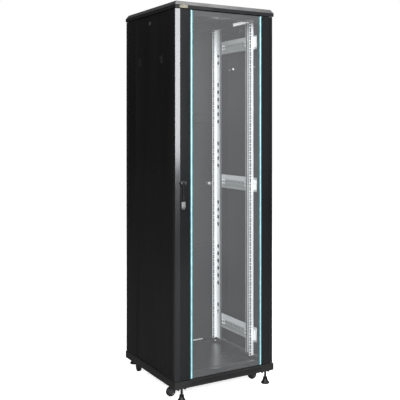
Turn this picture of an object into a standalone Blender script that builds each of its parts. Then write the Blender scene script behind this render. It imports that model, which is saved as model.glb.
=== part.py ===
"""Network server rack cabinet, 42 units high, as separate pieces with working joints.

Metres, +Z up.  The origin is on the floor, under the middle of the cabinet; the glass
front door faces -Y, +X is to the right of someone who stands in front of it.
"""
import math

import bmesh
import bpy
from mathutils import Matrix, Vector

# ---------------------------------------------------------------- driving dimensions
HALF_WIDTH = 0.304          # outer faces of the side panels
PLINTH_HALF_WIDTH = 0.308   # the plinth and the roof stand 4 mm proud of the body
PLINTH_HALF_DEPTH = 0.304
FLOOR_GAP = 0.070           # levelling feet lift the plinth this far off the floor
PLINTH_TOP = 0.107
TOTAL_HEIGHT = 2.055
ROOF_BASE = TOTAL_HEIGHT - 0.038
TOP_FRAME_LOW = ROOF_BASE - 0.030
ROOF_BAND = 0.018           # upright edge of the roof, below its chamfer
ROOF_INSET = 0.013          # how far the chamfer leans in
DOOR_LOW = PLINTH_TOP + 0.003
DOOR_HIGH = ROOF_BASE - 0.003

CLEAR = 0.0003              # gap between neighbouring pieces
RUNNING = 0.0005            # gap round a piece that turns or slides
PLATE = 0.002               # sheet of the plinth, rails and top frame
SHEET = 0.0015              # sheet of the posts and beams
SKIN = 0.0012               # sheet of doors, panels and roof

BODY_FRONT = -0.270         # front plane of the posts and side panels
BODY_REAR = 0.276
POST_OUTER = 0.297
POST_INNER = 0.261
POST_LIP = 0.008
POST_BACK_OF_FRONT = -0.215  # face of the front posts that the beams butt against
POST_FRONT_OF_REAR = 0.225

UNIT = 0.04445              # height of one rack unit
UNITS = 42
HOLE_OFFSETS = (0.00635, 0.022225, 0.0381)
HOLE_SIZE = 0.0095          # square mounting holes for cage nuts
HOLE_COLUMN = 0.23255       # half of the 465.1 mm between hole columns
UNIT_BASE = 0.1300          # foot of the first rack unit
RAIL_MARGIN = 0.00235
RAIL_FRONT = -0.187         # mounting faces of the front and rear rails
RAIL_REAR = 0.210
RAIL_INNER = 0.225          # half of the 450 mm clear opening
RAIL_OUTER = 0.2547
RAIL_DEPTH = 0.060
RAIL_LIP = 0.014

BEAM_HEIGHTS = (0.241, 1.083, 1.885)
BEAM_NAMES = ("lower", "middle", "upper")
BEAM_FACE = 0.2553
# Section of a beam from its foot to its head: depth behind the face, height from the middle.
BEAM_SECTION = ((0.016, -0.039), (0.0, -0.039), (0.0, -0.033), (0.0025, -0.031), (0.0025, -0.017),
                (0.0, -0.014), (0.0, 0.014), (0.012, 0.039), (0.016, 0.039))

DOOR_FRONT = -0.302
DOOR_BACK = -0.275
DOOR_EDGE = 0.304
DOOR_RETURN = 0.015         # width of the flange along the strip's back edge
STRIP_BEVEL = 0.279         # where the strip's outer bevel starts
BEVEL_FALL = 0.006
GLASS_REACH = {"left": 0.218, "right": 0.229}   # the handle side has the wider strip
STRIP_GAP = 0.0025          # between the pane and the strip beside it
LAP_WIDTH = 0.015           # the strip's flange that carries the glass
LAP_FACE = -0.294
GLASS_BACK = LAP_FACE - CLEAR
GLASS_THICKNESS = 0.005
TRIM_WIDTH = 0.0155
END_MARGIN = 0.002          # the pane and its trims end this far inside the door
DOOR_RAIL_HEIGHT = 0.027
CAP_HEIGHT = 0.012          # solid ends of the door that hold the hinge pins
CAP_MARGIN = 0.0005
FRONT_HINGE = (0.293, -0.289)
PIN_RADIUS = 0.004
PIN_REACH = 0.0105          # how far a pin runs into the door
PIN_ROOT = 0.008            # and into the plinth or the roof

REAR_FRONT = 0.282
REAR_BACK = 0.302
REAR_HINGE = (-0.293, 0.292)
REAR_LOCK = (0.244, 1.061)
REAR_LOCK_RADIUS = 0.009
STIFFENER_HEIGHTS = (0.664, 1.458)
STIFFENER_REACH = 0.255
STIFFENER_FACE = 0.290

HANDLE_X = -0.266
HOUSING_HALF = 0.0125
HOUSING_DEPTH = 0.005
HANDLE_LOW = 0.983
HANDLE_HIGH = 1.132
HUB_HEIGHT = 1.121
LEVER_LOW = 1.0285
LEVER_HALF_WIDTH = 0.0075
LEVER_HALF_DEPTH = 0.005
LEVER_PIVOT_Y = -0.3155
HANDLE_FACE = -0.3215
HUB_HALF = 0.0175
SPINDLE_RADIUS = 0.006
HANDLE_BORE = 0.0068
KEY_HEIGHT = 1.007
KEY_RADIUS = 0.0063
KEY_SLOT = (0.0006, 0.0035)  # half width and half height of a keyway
CAP_LOW = 0.987
CAP_TOP = 1.027
CAM_FACES = (-0.2742, -0.2712)

PANEL_RECESS = 0.004
RECESS_HALF = 0.153
RECESS_BEVEL = 0.012
LATCH_Y = 0.131
LATCH_HEIGHT = 1.767
LATCH_HALF = 0.006
WINDOW_LOW = 0.0165         # the latch window below and above the latch's middle
WINDOW_HIGH = 0.0085
SIDE_LOCK_HEIGHT = 1.972
SIDE_LOCK_RADIUS = 0.008

CASTOR_X = 0.257
CASTOR_Y = {"front": 0.200, "rear": 0.215}
CASTOR_STEM = 0.005
AXLE_RADIUS = 0.004
FORK_RADIUS = 0.0165
CASTOR_TRAIL = 0.022
WHEEL_RADIUS = 0.025
AXLE_HEIGHT = {"front": 0.0275, "rear": 0.025}     # the front feet lift the front wheels clear
WHEEL_HALF_WIDTH = 0.0085
FOOT_X = 0.262
FOOT_Y = 0.288
FOOT_RADIUS = 0.0225
FOOT_LOW = {"front": 0.0, "rear": 0.030}           # the rear feet are wound up
PAD_HEIGHT = 0.025
HEXAGON_WIDTH = 0.024
STUD_RADIUS = 0.0065
STUD_TOP = {"front": 0.097, "rear": 0.1035}
THROUGH = 0.01              # how far a cutter runs past the sheet it cuts

SIDES = (("left", -1), ("right", 1))
ENDS = (("front", -1), ("rear", 1))


# ---------------------------------------------------------------- materials
def material(name, colour, roughness, metallic=0.0, alpha=1.0):
    """One Principled material, made once and shared by every piece of that finish."""
    made = bpy.data.materials.get(name)
    if made:
        return made
    made = bpy.data.materials.new(name)
    made.use_nodes = True
    shader = made.node_tree.nodes["Principled BSDF"]
    shader.inputs["Base Color"].default_value = (*colour, 1.0)
    shader.inputs["Roughness"].default_value = roughness
    shader.inputs["Metallic"].default_value = metallic
    shader.inputs["Alpha"].default_value = alpha
    made.diffuse_color = (*colour, alpha)
    return made


FINISHES = {
    "black_paint": ((0.016, 0.016, 0.018), 0.45),
    "zinc": ((0.60, 0.61, 0.62), 0.42, 0.9),
    "bright_rail": ((0.78, 0.79, 0.80), 0.38, 0.8),
    "glass": ((0.42, 0.44, 0.45), 0.05, 0.0, 0.35),
    "pale_trim": ((0.66, 0.90, 0.95), 0.35),
    "black_plastic": ((0.020, 0.020, 0.022), 0.5),
    "lock_metal": ((0.70, 0.70, 0.70), 0.3, 1.0),
    "castor_rubber": ((0.03, 0.03, 0.032), 0.6),
}


# ---------------------------------------------------------------- shape tools
def on_axis(axis, u, v, along):
    """The point at (u, v) across an extrusion along X, Y or Z."""
    if axis == "X":
        return (along, u, v)
    if axis == "Y":
        return (u, along, v)
    return (u, v, along)


def to_object(mesh_builder, name, finish=None):
    """Turn a bmesh into an object with outward faces and, if given, a finish."""
    bmesh.ops.recalc_face_normals(mesh_builder, faces=mesh_builder.faces)
    mesh = bpy.data.meshes.new(name)
    mesh_builder.to_mesh(mesh)
    mesh_builder.free()
    made = bpy.data.objects.new(name, mesh)
    bpy.context.scene.collection.objects.link(made)
    if finish:
        mesh.materials.append(material(finish, *FINISHES[finish]))
    return made


def prism(name, outline, axis, low, high, finish=None):
    """Extrude a closed outline from low to high along an axis."""
    builder = bmesh.new()
    bottom = [builder.verts.new(on_axis(axis, u, v, low)) for u, v in outline]
    top = [builder.verts.new(on_axis(axis, u, v, high)) for u, v in outline]
    builder.faces.new(bottom)
    builder.faces.new(top)
    count = len(outline)
    for i in range(count):
        j = (i + 1) % count
        builder.faces.new((bottom[i], bottom[j], top[j], top[i]))
    return to_object(builder, name, finish)


def block(name, low, high, finish=None):
    """A rectangular block between two opposite corners."""
    outline = [(low[0], low[1]), (high[0], low[1]), (high[0], high[1]), (low[0], high[1])]
    return prism(name, outline, "Z", low[2], high[2], finish)


def blocks(name, corners):
    """Several separate blocks in one mesh, to cut with in one go."""
    builder = bmesh.new()
    for low, high in corners:
        size = Vector(high) - Vector(low)
        centre = (Vector(high) + Vector(low)) / 2
        bmesh.ops.create_cube(builder, size=1.0, matrix=Matrix.LocRotScale(centre, None, size))
    return to_object(builder, name)


def circle(centre, radius, sides=24):
    """Points round a circle, as an outline."""
    return [(centre[0] + radius * math.cos(math.tau * i / sides),
             centre[1] + radius * math.sin(math.tau * i / sides)) for i in range(sides)]


def rod(name, axis, centre, radius, low, high, finish=None, sides=24):
    """A round bar along an axis; a hexagon is a rod of six sides."""
    made = prism(name, circle(centre, radius, sides), axis, low, high, finish)
    if sides > 8:
        made.data.shade_smooth()
        made.data.set_sharp_from_angle(angle=math.radians(40))
    return made


def rods(name, axis, centres, radius, low, high, sides=16):
    """Several separate round bars in one mesh, to cut with in one go."""
    builder = bmesh.new()
    for centre in centres:
        ring = circle(centre, radius, sides)
        bottom = [builder.verts.new(on_axis(axis, u, v, low)) for u, v in ring]
        top = [builder.verts.new(on_axis(axis, u, v, high)) for u, v in ring]
        builder.faces.new(bottom)
        builder.faces.new(top)
        for i in range(sides):
            j = (i + 1) % sides
            builder.faces.new((bottom[i], bottom[j], top[j], top[i]))
    return to_object(builder, name)


def turned(name, centre, profile, finish, sides=24):
    """Turn a profile of (radius, height) points about an upright axis through centre."""
    builder = bmesh.new()
    verts = [builder.verts.new((centre[0] + r, centre[1], z)) for r, z in profile]
    edges = [builder.edges.new(pair) for pair in zip(verts, verts[1:])]
    bmesh.ops.spin(builder, geom=verts + edges, cent=(*centre, 0.0), axis=(0, 0, 1),
                   angle=math.tau, steps=sides, use_merge=True)
    bmesh.ops.remove_doubles(builder, verts=builder.verts, dist=1e-6)
    made = to_object(builder, name, finish)
    made.data.shade_smooth()
    made.data.set_sharp_from_angle(angle=math.radians(35))
    return made


def sheet_outline(path, gauge):
    """The closed outline of a folded sheet: the path, and the path offset to its left."""
    points = [Vector(p) for p in path]
    runs = [(b - a).normalized() for a, b in zip(points, points[1:])]
    offset = []
    for i, point in enumerate(points):
        before = runs[max(i - 1, 0)]
        after = runs[min(i, len(runs) - 1)]
        left_before = Vector((-before.y, before.x))
        left_after = Vector((-after.y, after.x))
        mitre = (left_before + left_after).normalized()
        offset.append(point + mitre * (gauge / mitre.dot(left_before)))
    return [tuple(p) for p in points] + [tuple(p) for p in reversed(offset)]


def folded(name, path, gauge, axis, low, high, finish):
    """A folded sheet section, extruded along an axis."""
    return prism(name, sheet_outline(path, gauge), axis, low, high, finish)


def mirrored(path, sx=1, sy=1):
    """A path mirrored in X and Y, turned round so that its left stays its inner side."""
    made = [(u * sx, v * sy) for u, v in path]
    return made[::-1] if sx * sy < 0 else made


def combine(target, tool, operation):
    """Add a live Boolean to target, and hide the shape that it uses."""
    tool.hide_render = True
    tool.display_type = "WIRE"
    step = target.modifiers.new(tool.name, "BOOLEAN")
    step.operation = operation
    step.solver = "EXACT"
    step.object = tool
    return target


def cut(target, tool):
    return combine(target, tool, "DIFFERENCE")


def weld(target, tool):
    return combine(target, tool, "UNION")


def pivot(name, location, parent=None):
    """An empty on a joint's axis, which the moving pieces hang from."""
    made = bpy.data.objects.new(name, None)
    made.location = location
    made.empty_display_size = 0.03
    bpy.context.scene.collection.objects.link(made)
    if parent:
        hang(parent, made)
    bpy.context.view_layer.update()
    return made


def hang(parent, *pieces):
    """Parent pieces to an empty and leave them where they are."""
    bpy.context.view_layer.update()
    for piece in pieces:
        piece.parent = parent
        piece.matrix_parent_inverse = parent.matrix_world.inverted()


# ---------------------------------------------------------------- the standing frame
def build_base_frame():
    """Plinth: a shallow steel tray with an inward bottom flange and a cable slot."""
    low, high = FLOOR_GAP, PLINTH_TOP
    width, depth = PLINTH_HALF_WIDTH, PLINTH_HALF_DEPTH
    base = block("base_frame", (-width, -depth, low), (width, depth, high), "black_paint")
    cut(base, block("plinth_hollow", (PLATE - width, PLATE - depth, low + PLATE),
                    (width - PLATE, depth - PLATE, high - PLATE)))
    cut(base, blocks("plinth_openings", [
        ((-0.255, -0.255, low - THROUGH), (0.255, 0.255, low + THROUGH)),
        ((-0.208, 0.245, high - THROUGH), (0.208, 0.285, high + THROUGH)),
    ]))
    cut(base, block("plinth_rear_opening", (-0.212, 0.2, low - THROUGH), (0.212, 0.288, low + THROUGH)))
    cut(base, block("plinth_front_recess", (-0.225, -depth - THROUGH, low + 0.008),
                    (0.225, -depth + 0.001, high - 0.007)))
    castors = [(sx * CASTOR_X, sy * CASTOR_Y[end]) for _, sx in SIDES for end, sy in ENDS]
    feet = [(sx * FOOT_X, sy * FOOT_Y) for _, sx in SIDES for _, sy in ENDS]
    for i, (x, y) in enumerate(castors):
        weld(base, block(f"castor_plate_{i}", (x - 0.035, y - 0.030, low - 0.003),
                         (x + 0.035, y + 0.030, low + 0.001)))
    cut(base, rods("foot_holes", "Z", feet, STUD_RADIUS + RUNNING, low - THROUGH, low + THROUGH))
    cut(base, rods("castor_stem_holes", "Z", castors, CASTOR_STEM + RUNNING, low - THROUGH, low + THROUGH))
    cut(base, rods("plinth_pin_holes", "Z", [FRONT_HINGE, REAR_HINGE], PIN_RADIUS + RUNNING,
                   high - THROUGH, high + THROUGH))


def build_top_frame():
    """Ring of inward-facing channel that ties the posts together under the roof."""
    low, high = TOP_FRAME_LOW, ROOF_BASE - CLEAR
    web = POST_OUTER - PLATE
    frame = block("top_frame", (-POST_OUTER, BODY_FRONT, low), (POST_OUTER, BODY_REAR, high),
                  "black_paint")
    cut(frame, block("top_channel", (-web, BODY_FRONT + PLATE, low + PLATE),
                     (web, BODY_REAR - PLATE, high - PLATE)))
    cut(frame, block("top_opening", (-0.255, BODY_FRONT + 0.040, low - THROUGH),
                     (0.255, BODY_REAR - 0.040, high + THROUGH)))


def build_roof_cover():
    """Roof: a chamfered lid with a bottom flange and a cable slot on each side."""
    width, depth = PLINTH_HALF_WIDTH, PLINTH_HALF_DEPTH
    band = ROOF_BASE + ROOF_BAND

    def lid(name, shrink, low, finish=None):
        builder = bmesh.new()
        rings = []
        for inset, z in ((shrink, low), (shrink, band), (ROOF_INSET + shrink, TOTAL_HEIGHT - shrink)):
            rings.append([builder.verts.new((sx * (width - inset), sy * (depth - inset), z))
                          for sx, sy in ((-1, -1), (1, -1), (1, 1), (-1, 1))])
        for lower, upper in zip(rings, rings[1:]):
            for i in range(4):
                j = (i + 1) % 4
                builder.faces.new((lower[i], lower[j], upper[j], upper[i]))
        builder.faces.new(rings[0])
        builder.faces.new(rings[-1])
        return to_object(builder, name, finish)

    roof = lid("roof_cover", 0.0, ROOF_BASE, "black_paint")
    cut(roof, lid("roof_hollow", SKIN, ROOF_BASE + SKIN))
    cut(roof, block("roof_opening", (-0.272, -0.268, ROOF_BASE - THROUGH),
                    (0.272, 0.268, ROOF_BASE + THROUGH)))
    cut(roof, blocks("roof_cable_slots", [
        ((min(sx * 0.218, sx * 0.260), -0.198, TOTAL_HEIGHT - THROUGH),
         (max(sx * 0.218, sx * 0.260), -0.033, TOTAL_HEIGHT + THROUGH)) for _, sx in SIDES]))
    cut(roof, rods("roof_pin_holes", "Z", [FRONT_HINGE, REAR_HINGE], PIN_RADIUS + RUNNING,
                   ROOF_BASE - THROUGH, ROOF_BASE + THROUGH))


def build_posts():
    """Four corner posts, each a folded section that is open towards the inside."""
    low, high = PLINTH_TOP + CLEAR, TOP_FRAME_LOW - CLEAR
    for end, sy in ENDS:
        outer = BODY_FRONT if sy < 0 else BODY_REAR
        inner = POST_BACK_OF_FRONT if sy < 0 else POST_FRONT_OF_REAR
        lip = -sy * POST_LIP
        path = [(POST_INNER, outer + lip), (POST_INNER, outer), (POST_OUTER, outer),
                (POST_OUTER, inner), (POST_INNER, inner), (POST_INNER, inner - lip)]
        if sy > 0:
            path = path[::-1]
        for side, sx in SIDES:
            folded(f"post_{end}_{side}", mirrored(path, sx), SHEET, "Z", low, high, "black_paint")


def build_beams():
    """Three depth beams a side, each a shallow channel with a sloping head and a grooved foot."""
    for level, height in zip(BEAM_NAMES, BEAM_HEIGHTS):
        path = [(BEAM_FACE + depth, height + rise) for depth, rise in BEAM_SECTION]
        for side, sx in SIDES:
            folded(f"beam_{level}_{side}", mirrored(path[::-1], sx), SHEET, "Y",
                   POST_BACK_OF_FRONT + CLEAR, POST_FRONT_OF_REAR - CLEAR, "zinc")


def hole_heights():
    """Heights of the mounting holes: three in every rack unit."""
    return [UNIT_BASE + UNIT * unit + offset for unit in range(UNITS) for offset in HOLE_OFFSETS]


def build_rails():
    """Four mounting rails with square holes at the rack pitch."""
    low = UNIT_BASE - RAIL_MARGIN
    high = UNIT_BASE + UNIT * UNITS + RAIL_MARGIN
    half = HOLE_SIZE / 2
    for end, sy in ENDS:
        face = RAIL_FRONT if sy < 0 else RAIL_REAR
        lip_face = face - sy * RAIL_DEPTH
        path = [(RAIL_INNER, face), (RAIL_OUTER, face), (RAIL_OUTER, lip_face),
                (RAIL_OUTER - RAIL_LIP, lip_face)]
        if sy > 0:
            path = path[::-1]
        for side, sx in SIDES:
            rail = folded(f"rail_{end}_{side}", mirrored(path, sx), PLATE, "Z", low, high, "bright_rail")
            column = sx * HOLE_COLUMN
            cut(rail, blocks(f"rail_holes_{end}_{side}", [
                ((column - half, face - THROUGH, z - half), (column + half, face + THROUGH, z + half))
                for z in hole_heights()]))


# ---------------------------------------------------------------- front door
def strip_inner(side):
    """Distance from the middle of the cabinet to the inner edge of a door strip."""
    return GLASS_REACH[side] + STRIP_GAP


def build_door_strip(side, sx):
    """Folded steel strip beside the glass, closed by a solid cap at its foot and its head."""
    inner = strip_inner(side)
    lap = inner - LAP_WIDTH
    path = [(lap, DOOR_BACK), (lap, LAP_FACE), (inner, LAP_FACE), (inner, DOOR_FRONT),
            (STRIP_BEVEL, DOOR_FRONT), (DOOR_EDGE, DOOR_FRONT + BEVEL_FALL),
            (DOOR_EDGE, DOOR_BACK), (DOOR_EDGE - DOOR_RETURN, DOOR_BACK)]
    strip = folded(f"front_door_{side}_strip", mirrored(path, sx), SKIN, "Z", DOOR_LOW, DOOR_HIGH,
                   "black_paint")
    margin = CAP_MARGIN
    cap = [(inner + margin, DOOR_FRONT + margin), (STRIP_BEVEL, DOOR_FRONT + margin),
           (DOOR_EDGE - margin, DOOR_FRONT + BEVEL_FALL), (DOOR_EDGE - margin, DOOR_BACK - margin),
           (inner + margin, DOOR_BACK - margin)]
    for place, low in (("foot", DOOR_LOW + margin), ("head", DOOR_HIGH - margin - CAP_HEIGHT)):
        weld(strip, prism(f"{side}_strip_{place}", [(u * sx, v) for u, v in cap], "Z",
                          low, low + CAP_HEIGHT))
    return strip


def hinge_pins(name, place):
    """The lower and the upper pin on one door's hinge line."""
    return [rod(f"{name}_lower", "Z", place, PIN_RADIUS, PLINTH_TOP - PIN_ROOT, DOOR_LOW + PIN_REACH,
                "lock_metal"),
            rod(f"{name}_upper", "Z", place, PIN_RADIUS, DOOR_HIGH - PIN_REACH, ROOF_BASE + PIN_ROOT,
                "lock_metal")]


def cut_pin_bores(door, name, place):
    """Blind bores for the hinge pins in a door's foot and head."""
    deep = PIN_REACH + CLEAR
    for end, low, high in (("foot", DOOR_LOW - THROUGH, DOOR_LOW + deep),
                           ("head", DOOR_HIGH - deep, DOOR_HIGH + THROUGH)):
        cut(door, rods(f"{name}_{end}", "Z", [place], PIN_RADIUS + CLEAR, low, high))


def build_front_door():
    """Glass door: two steel strips, two cross rails, the pane and its pale edge trims."""
    hinge = pivot("front_door_hinge_axis", (*FRONT_HINGE, DOOR_LOW))
    strips = {side: build_door_strip(side, sx) for side, sx in SIDES}
    cut_pin_bores(strips["right"], "door_pin_bore", FRONT_HINGE)
    cut(strips["left"], rods("handle_holes", "Y", [(HANDLE_X, HUB_HEIGHT), (HANDLE_X, KEY_HEIGHT)],
                             HANDLE_BORE, DOOR_FRONT - THROUGH, DOOR_FRONT + 0.005, 24))

    rails = []
    ends = [sx * (strip_inner(side) - LAP_WIDTH - CLEAR) for side, sx in SIDES]
    for place, low in (("bottom", DOOR_LOW), ("top", DOOR_HIGH - DOOR_RAIL_HEIGHT)):
        high = low + DOOR_RAIL_HEIGHT
        channel = [(DOOR_BACK, low), (LAP_FACE, low), (LAP_FACE, high), (DOOR_BACK, high)]
        rails.append(folded(f"front_door_{place}_rail", channel[::-1], SKIN, "X", *ends, "black_paint"))

    pane_front = GLASS_BACK - GLASS_THICKNESS
    low, high = DOOR_LOW + END_MARGIN, DOOR_HIGH - END_MARGIN
    pane = block("front_door_glass", (-GLASS_REACH["left"], pane_front, low),
                 (GLASS_REACH["right"], GLASS_BACK, high), "glass")
    trims = []
    for side, sx in SIDES:
        near, far = sorted((sx * (GLASS_REACH[side] - TRIM_WIDTH), sx * GLASS_REACH[side]))
        trims.append(block(f"glass_trim_{side}", (near, DOOR_FRONT, low), (far, pane_front - CLEAR, high),
                           "pale_trim"))
    hang(hinge, *strips.values(), *rails, pane, *trims, *hinge_pins("front_hinge_pin", FRONT_HINGE))
    return hinge


def chamfered(half, low, high, corner):
    """Outline of a plate round the handle's middle line, with its four corners cut off."""
    x = HANDLE_X
    return [(x - half, low + corner), (x - half + corner, low), (x + half - corner, low),
            (x + half, low + corner), (x + half, high - corner), (x + half - corner, high),
            (x - half + corner, high), (x - half, high - corner)]


def keyway(name, x, front, back):
    """Slot for a key in the face of a lock that looks along Y."""
    half, rise = KEY_SLOT
    return block(name, (x[0] - half, front, x[1] - rise), (x[0] + half, back, x[1] + rise))


def build_handle(door):
    """Swing handle: housing, turning hub with its cam, fold-out lever and key cylinder."""
    x = HANDLE_X
    seat = DOOR_FRONT - CLEAR
    plate_face = seat - HOUSING_DEPTH
    housing = prism("handle_housing", chamfered(HOUSING_HALF, HANDLE_LOW, HANDLE_HIGH, 0.004), "Y",
                    plate_face, seat, "black_plastic")
    cut(housing, rods("housing_holes", "Y", [(x, HUB_HEIGHT), (x, KEY_HEIGHT)], HANDLE_BORE,
                      plate_face - THROUGH, seat + THROUGH, 24))

    cap_back = plate_face - CLEAR
    cap_face = HANDLE_FACE + 0.003
    lock_cap = prism("handle_lock_cap", chamfered(HOUSING_HALF, CAP_LOW, CAP_TOP, 0.004), "Y",
                     cap_face, cap_back, "lock_metal")
    cut(lock_cap, rods("cap_bore", "Y", [(x, KEY_HEIGHT)], HANDLE_BORE, cap_face - THROUGH,
                       cap_back + THROUGH, 24))
    hang(door, housing, lock_cap)

    key_axis = pivot("key_cylinder_axis", (x, HANDLE_FACE, KEY_HEIGHT), door)
    key_face = HANDLE_FACE + 0.002
    cylinder = rod("key_cylinder", "Y", (x, KEY_HEIGHT), KEY_RADIUS, key_face, -0.290, "lock_metal")
    cut(cylinder, keyway("key_slot", (x, KEY_HEIGHT), key_face - THROUGH, key_face + 0.004))
    hang(key_axis, cylinder)

    hub_axis = pivot("handle_hub_axis", (x, HANDLE_FACE, HUB_HEIGHT), door)
    hub_back = plate_face - CLEAR
    hub = prism("handle_hub", [(x - HUB_HALF, HUB_HEIGHT - 0.009), (x + HUB_HALF, HUB_HEIGHT - 0.009),
                               (x + HUB_HALF, HUB_HEIGHT + 0.006), (x + 0.013, HUB_HEIGHT + 0.011),
                               (x - 0.013, HUB_HEIGHT + 0.011), (x - HUB_HALF, HUB_HEIGHT + 0.006)],
                "Y", HANDLE_FACE, hub_back, "black_plastic")
    weld(hub, rod("hub_spindle", "Y", (x, HUB_HEIGHT), SPINDLE_RADIUS, hub_back - 0.003,
                  CAM_FACES[0] + 0.0027))
    slot = LEVER_HALF_WIDTH + RUNNING
    cut(hub, block("hub_slot", (x - slot, HANDLE_FACE - THROUGH, HUB_HEIGHT - 0.02),
                   (x + slot, LEVER_PIVOT_Y + LEVER_HALF_DEPTH + RUNNING, HUB_HEIGHT + 0.0065)))
    pin_end = HUB_HALF - 0.001
    cut(hub, rod("hub_pin_bore", "X", (LEVER_PIVOT_Y, HUB_HEIGHT), 0.0023, x - pin_end, x + pin_end + CLEAR))
    cam = prism("handle_cam", [(x + 0.010, HUB_HEIGHT - 0.010), (x + 0.010, HUB_HEIGHT + 0.010),
                               (x - 0.026, HUB_HEIGHT + 0.008), (x - 0.026, HUB_HEIGHT - 0.008)],
                "Y", *CAM_FACES, "zinc")
    cut(cam, rods("cam_bore", "Y", [(x, HUB_HEIGHT)], SPINDLE_RADIUS + CLEAR, CAM_FACES[0] - THROUGH,
                  CAM_FACES[1] + THROUGH, 24))
    hang(hub_axis, hub, cam)

    lever_axis = pivot("handle_lever_axis", (x, LEVER_PIVOT_Y, HUB_HEIGHT), hub_axis)
    back = LEVER_PIVOT_Y + LEVER_HALF_DEPTH
    front = LEVER_PIVOT_Y - LEVER_HALF_DEPTH
    head = circle((LEVER_PIVOT_Y, HUB_HEIGHT), LEVER_HALF_DEPTH)[:13]
    lever = prism("handle_lever", head + [(front, LEVER_LOW + 0.003), (front + 0.003, LEVER_LOW),
                                          (back, LEVER_LOW)],
                  "X", x - LEVER_HALF_WIDTH, x + LEVER_HALF_WIDTH, "black_plastic")
    weld(lever, rod("lever_pin", "X", (LEVER_PIVOT_Y, HUB_HEIGHT), 0.002, x - pin_end + RUNNING,
                    x + pin_end - RUNNING, sides=16))
    hang(lever_axis, lever)


# ---------------------------------------------------------------- rear door and side panels
def build_rear_door():
    """Plain steel rear door: a folded pan with two stiffeners, a lock and hinge pins."""
    hinge = pivot("rear_door_hinge_axis", (*REAR_HINGE, DOOR_LOW))
    door = block("rear_door", (-DOOR_EDGE, REAR_FRONT, DOOR_LOW), (DOOR_EDGE, REAR_BACK, DOOR_HIGH),
                 "black_paint")
    inner = DOOR_EDGE - SKIN
    cut(door, block("rear_hollow", (-inner, REAR_FRONT - THROUGH, DOOR_LOW + SKIN),
                    (inner, REAR_BACK - SKIN, DOOR_HIGH - SKIN)))
    root = REAR_BACK - CAP_MARGIN
    for i, height in enumerate(STIFFENER_HEIGHTS):
        hat = sheet_outline([(root, height - 0.030), (STIFFENER_FACE, height - 0.021),
                             (STIFFENER_FACE, height + 0.021), (root, height + 0.030)][::-1], SKIN)
        weld(door, prism(f"stiffener_{i}", hat, "X", -STIFFENER_REACH, STIFFENER_REACH))
    for place, low in (("foot", DOOR_LOW + CAP_MARGIN), ("head", DOOR_HIGH - CAP_MARGIN - CAP_HEIGHT)):
        weld(door, block(f"rear_pin_block_{place}", (CAP_MARGIN - DOOR_EDGE, REAR_FRONT + 0.001, low),
                         (REAR_HINGE[0] + 0.012, root, low + CAP_HEIGHT)))
    cut_pin_bores(door, "rear_pin_bore", REAR_HINGE)
    cut(door, rods("rear_lock_hole", "Y", [REAR_LOCK], REAR_LOCK_RADIUS + RUNNING, REAR_FRONT,
                   REAR_BACK + THROUGH, 24))
    hang(hinge, door, *hinge_pins("rear_hinge_pin", REAR_HINGE))

    lock_axis = pivot("rear_lock_axis", (REAR_LOCK[0], REAR_BACK, REAR_LOCK[1]), hinge)
    lock = rod("rear_lock", "Y", REAR_LOCK, REAR_LOCK_RADIUS, REAR_FRONT - 0.003, REAR_BACK + 0.001,
               "lock_metal")
    weld(lock, rod("rear_lock_rim", "Y", REAR_LOCK, 0.012, REAR_BACK + CLEAR, REAR_BACK + 0.0018))
    cam_x, cam_z = REAR_LOCK
    weld(lock, prism("rear_lock_cam", [(cam_x - 0.008, cam_z - 0.008), (cam_x + 0.034, cam_z - 0.007),
                                       (cam_x + 0.034, cam_z + 0.007), (cam_x - 0.008, cam_z + 0.008)],
                     "Y", REAR_FRONT - 0.0035, REAR_FRONT - 0.0010))
    cut(lock, keyway("rear_key_slot", REAR_LOCK, REAR_BACK - 0.003, REAR_BACK + THROUGH))
    hang(lock_axis, lock)


def across(sx, near, far):
    """The X values of two distances from the middle, low one first, on the left or the right."""
    return sorted((sx * near, sx * far))


def slab(name, sx, reach, y, z, finish=None):
    """A block on one side of the cabinet; reach, y and z are its limits along each axis."""
    low, high = across(sx, *reach)
    return block(name, (low, y[0], z[0]), (high, y[1], z[1]), finish)


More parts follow.
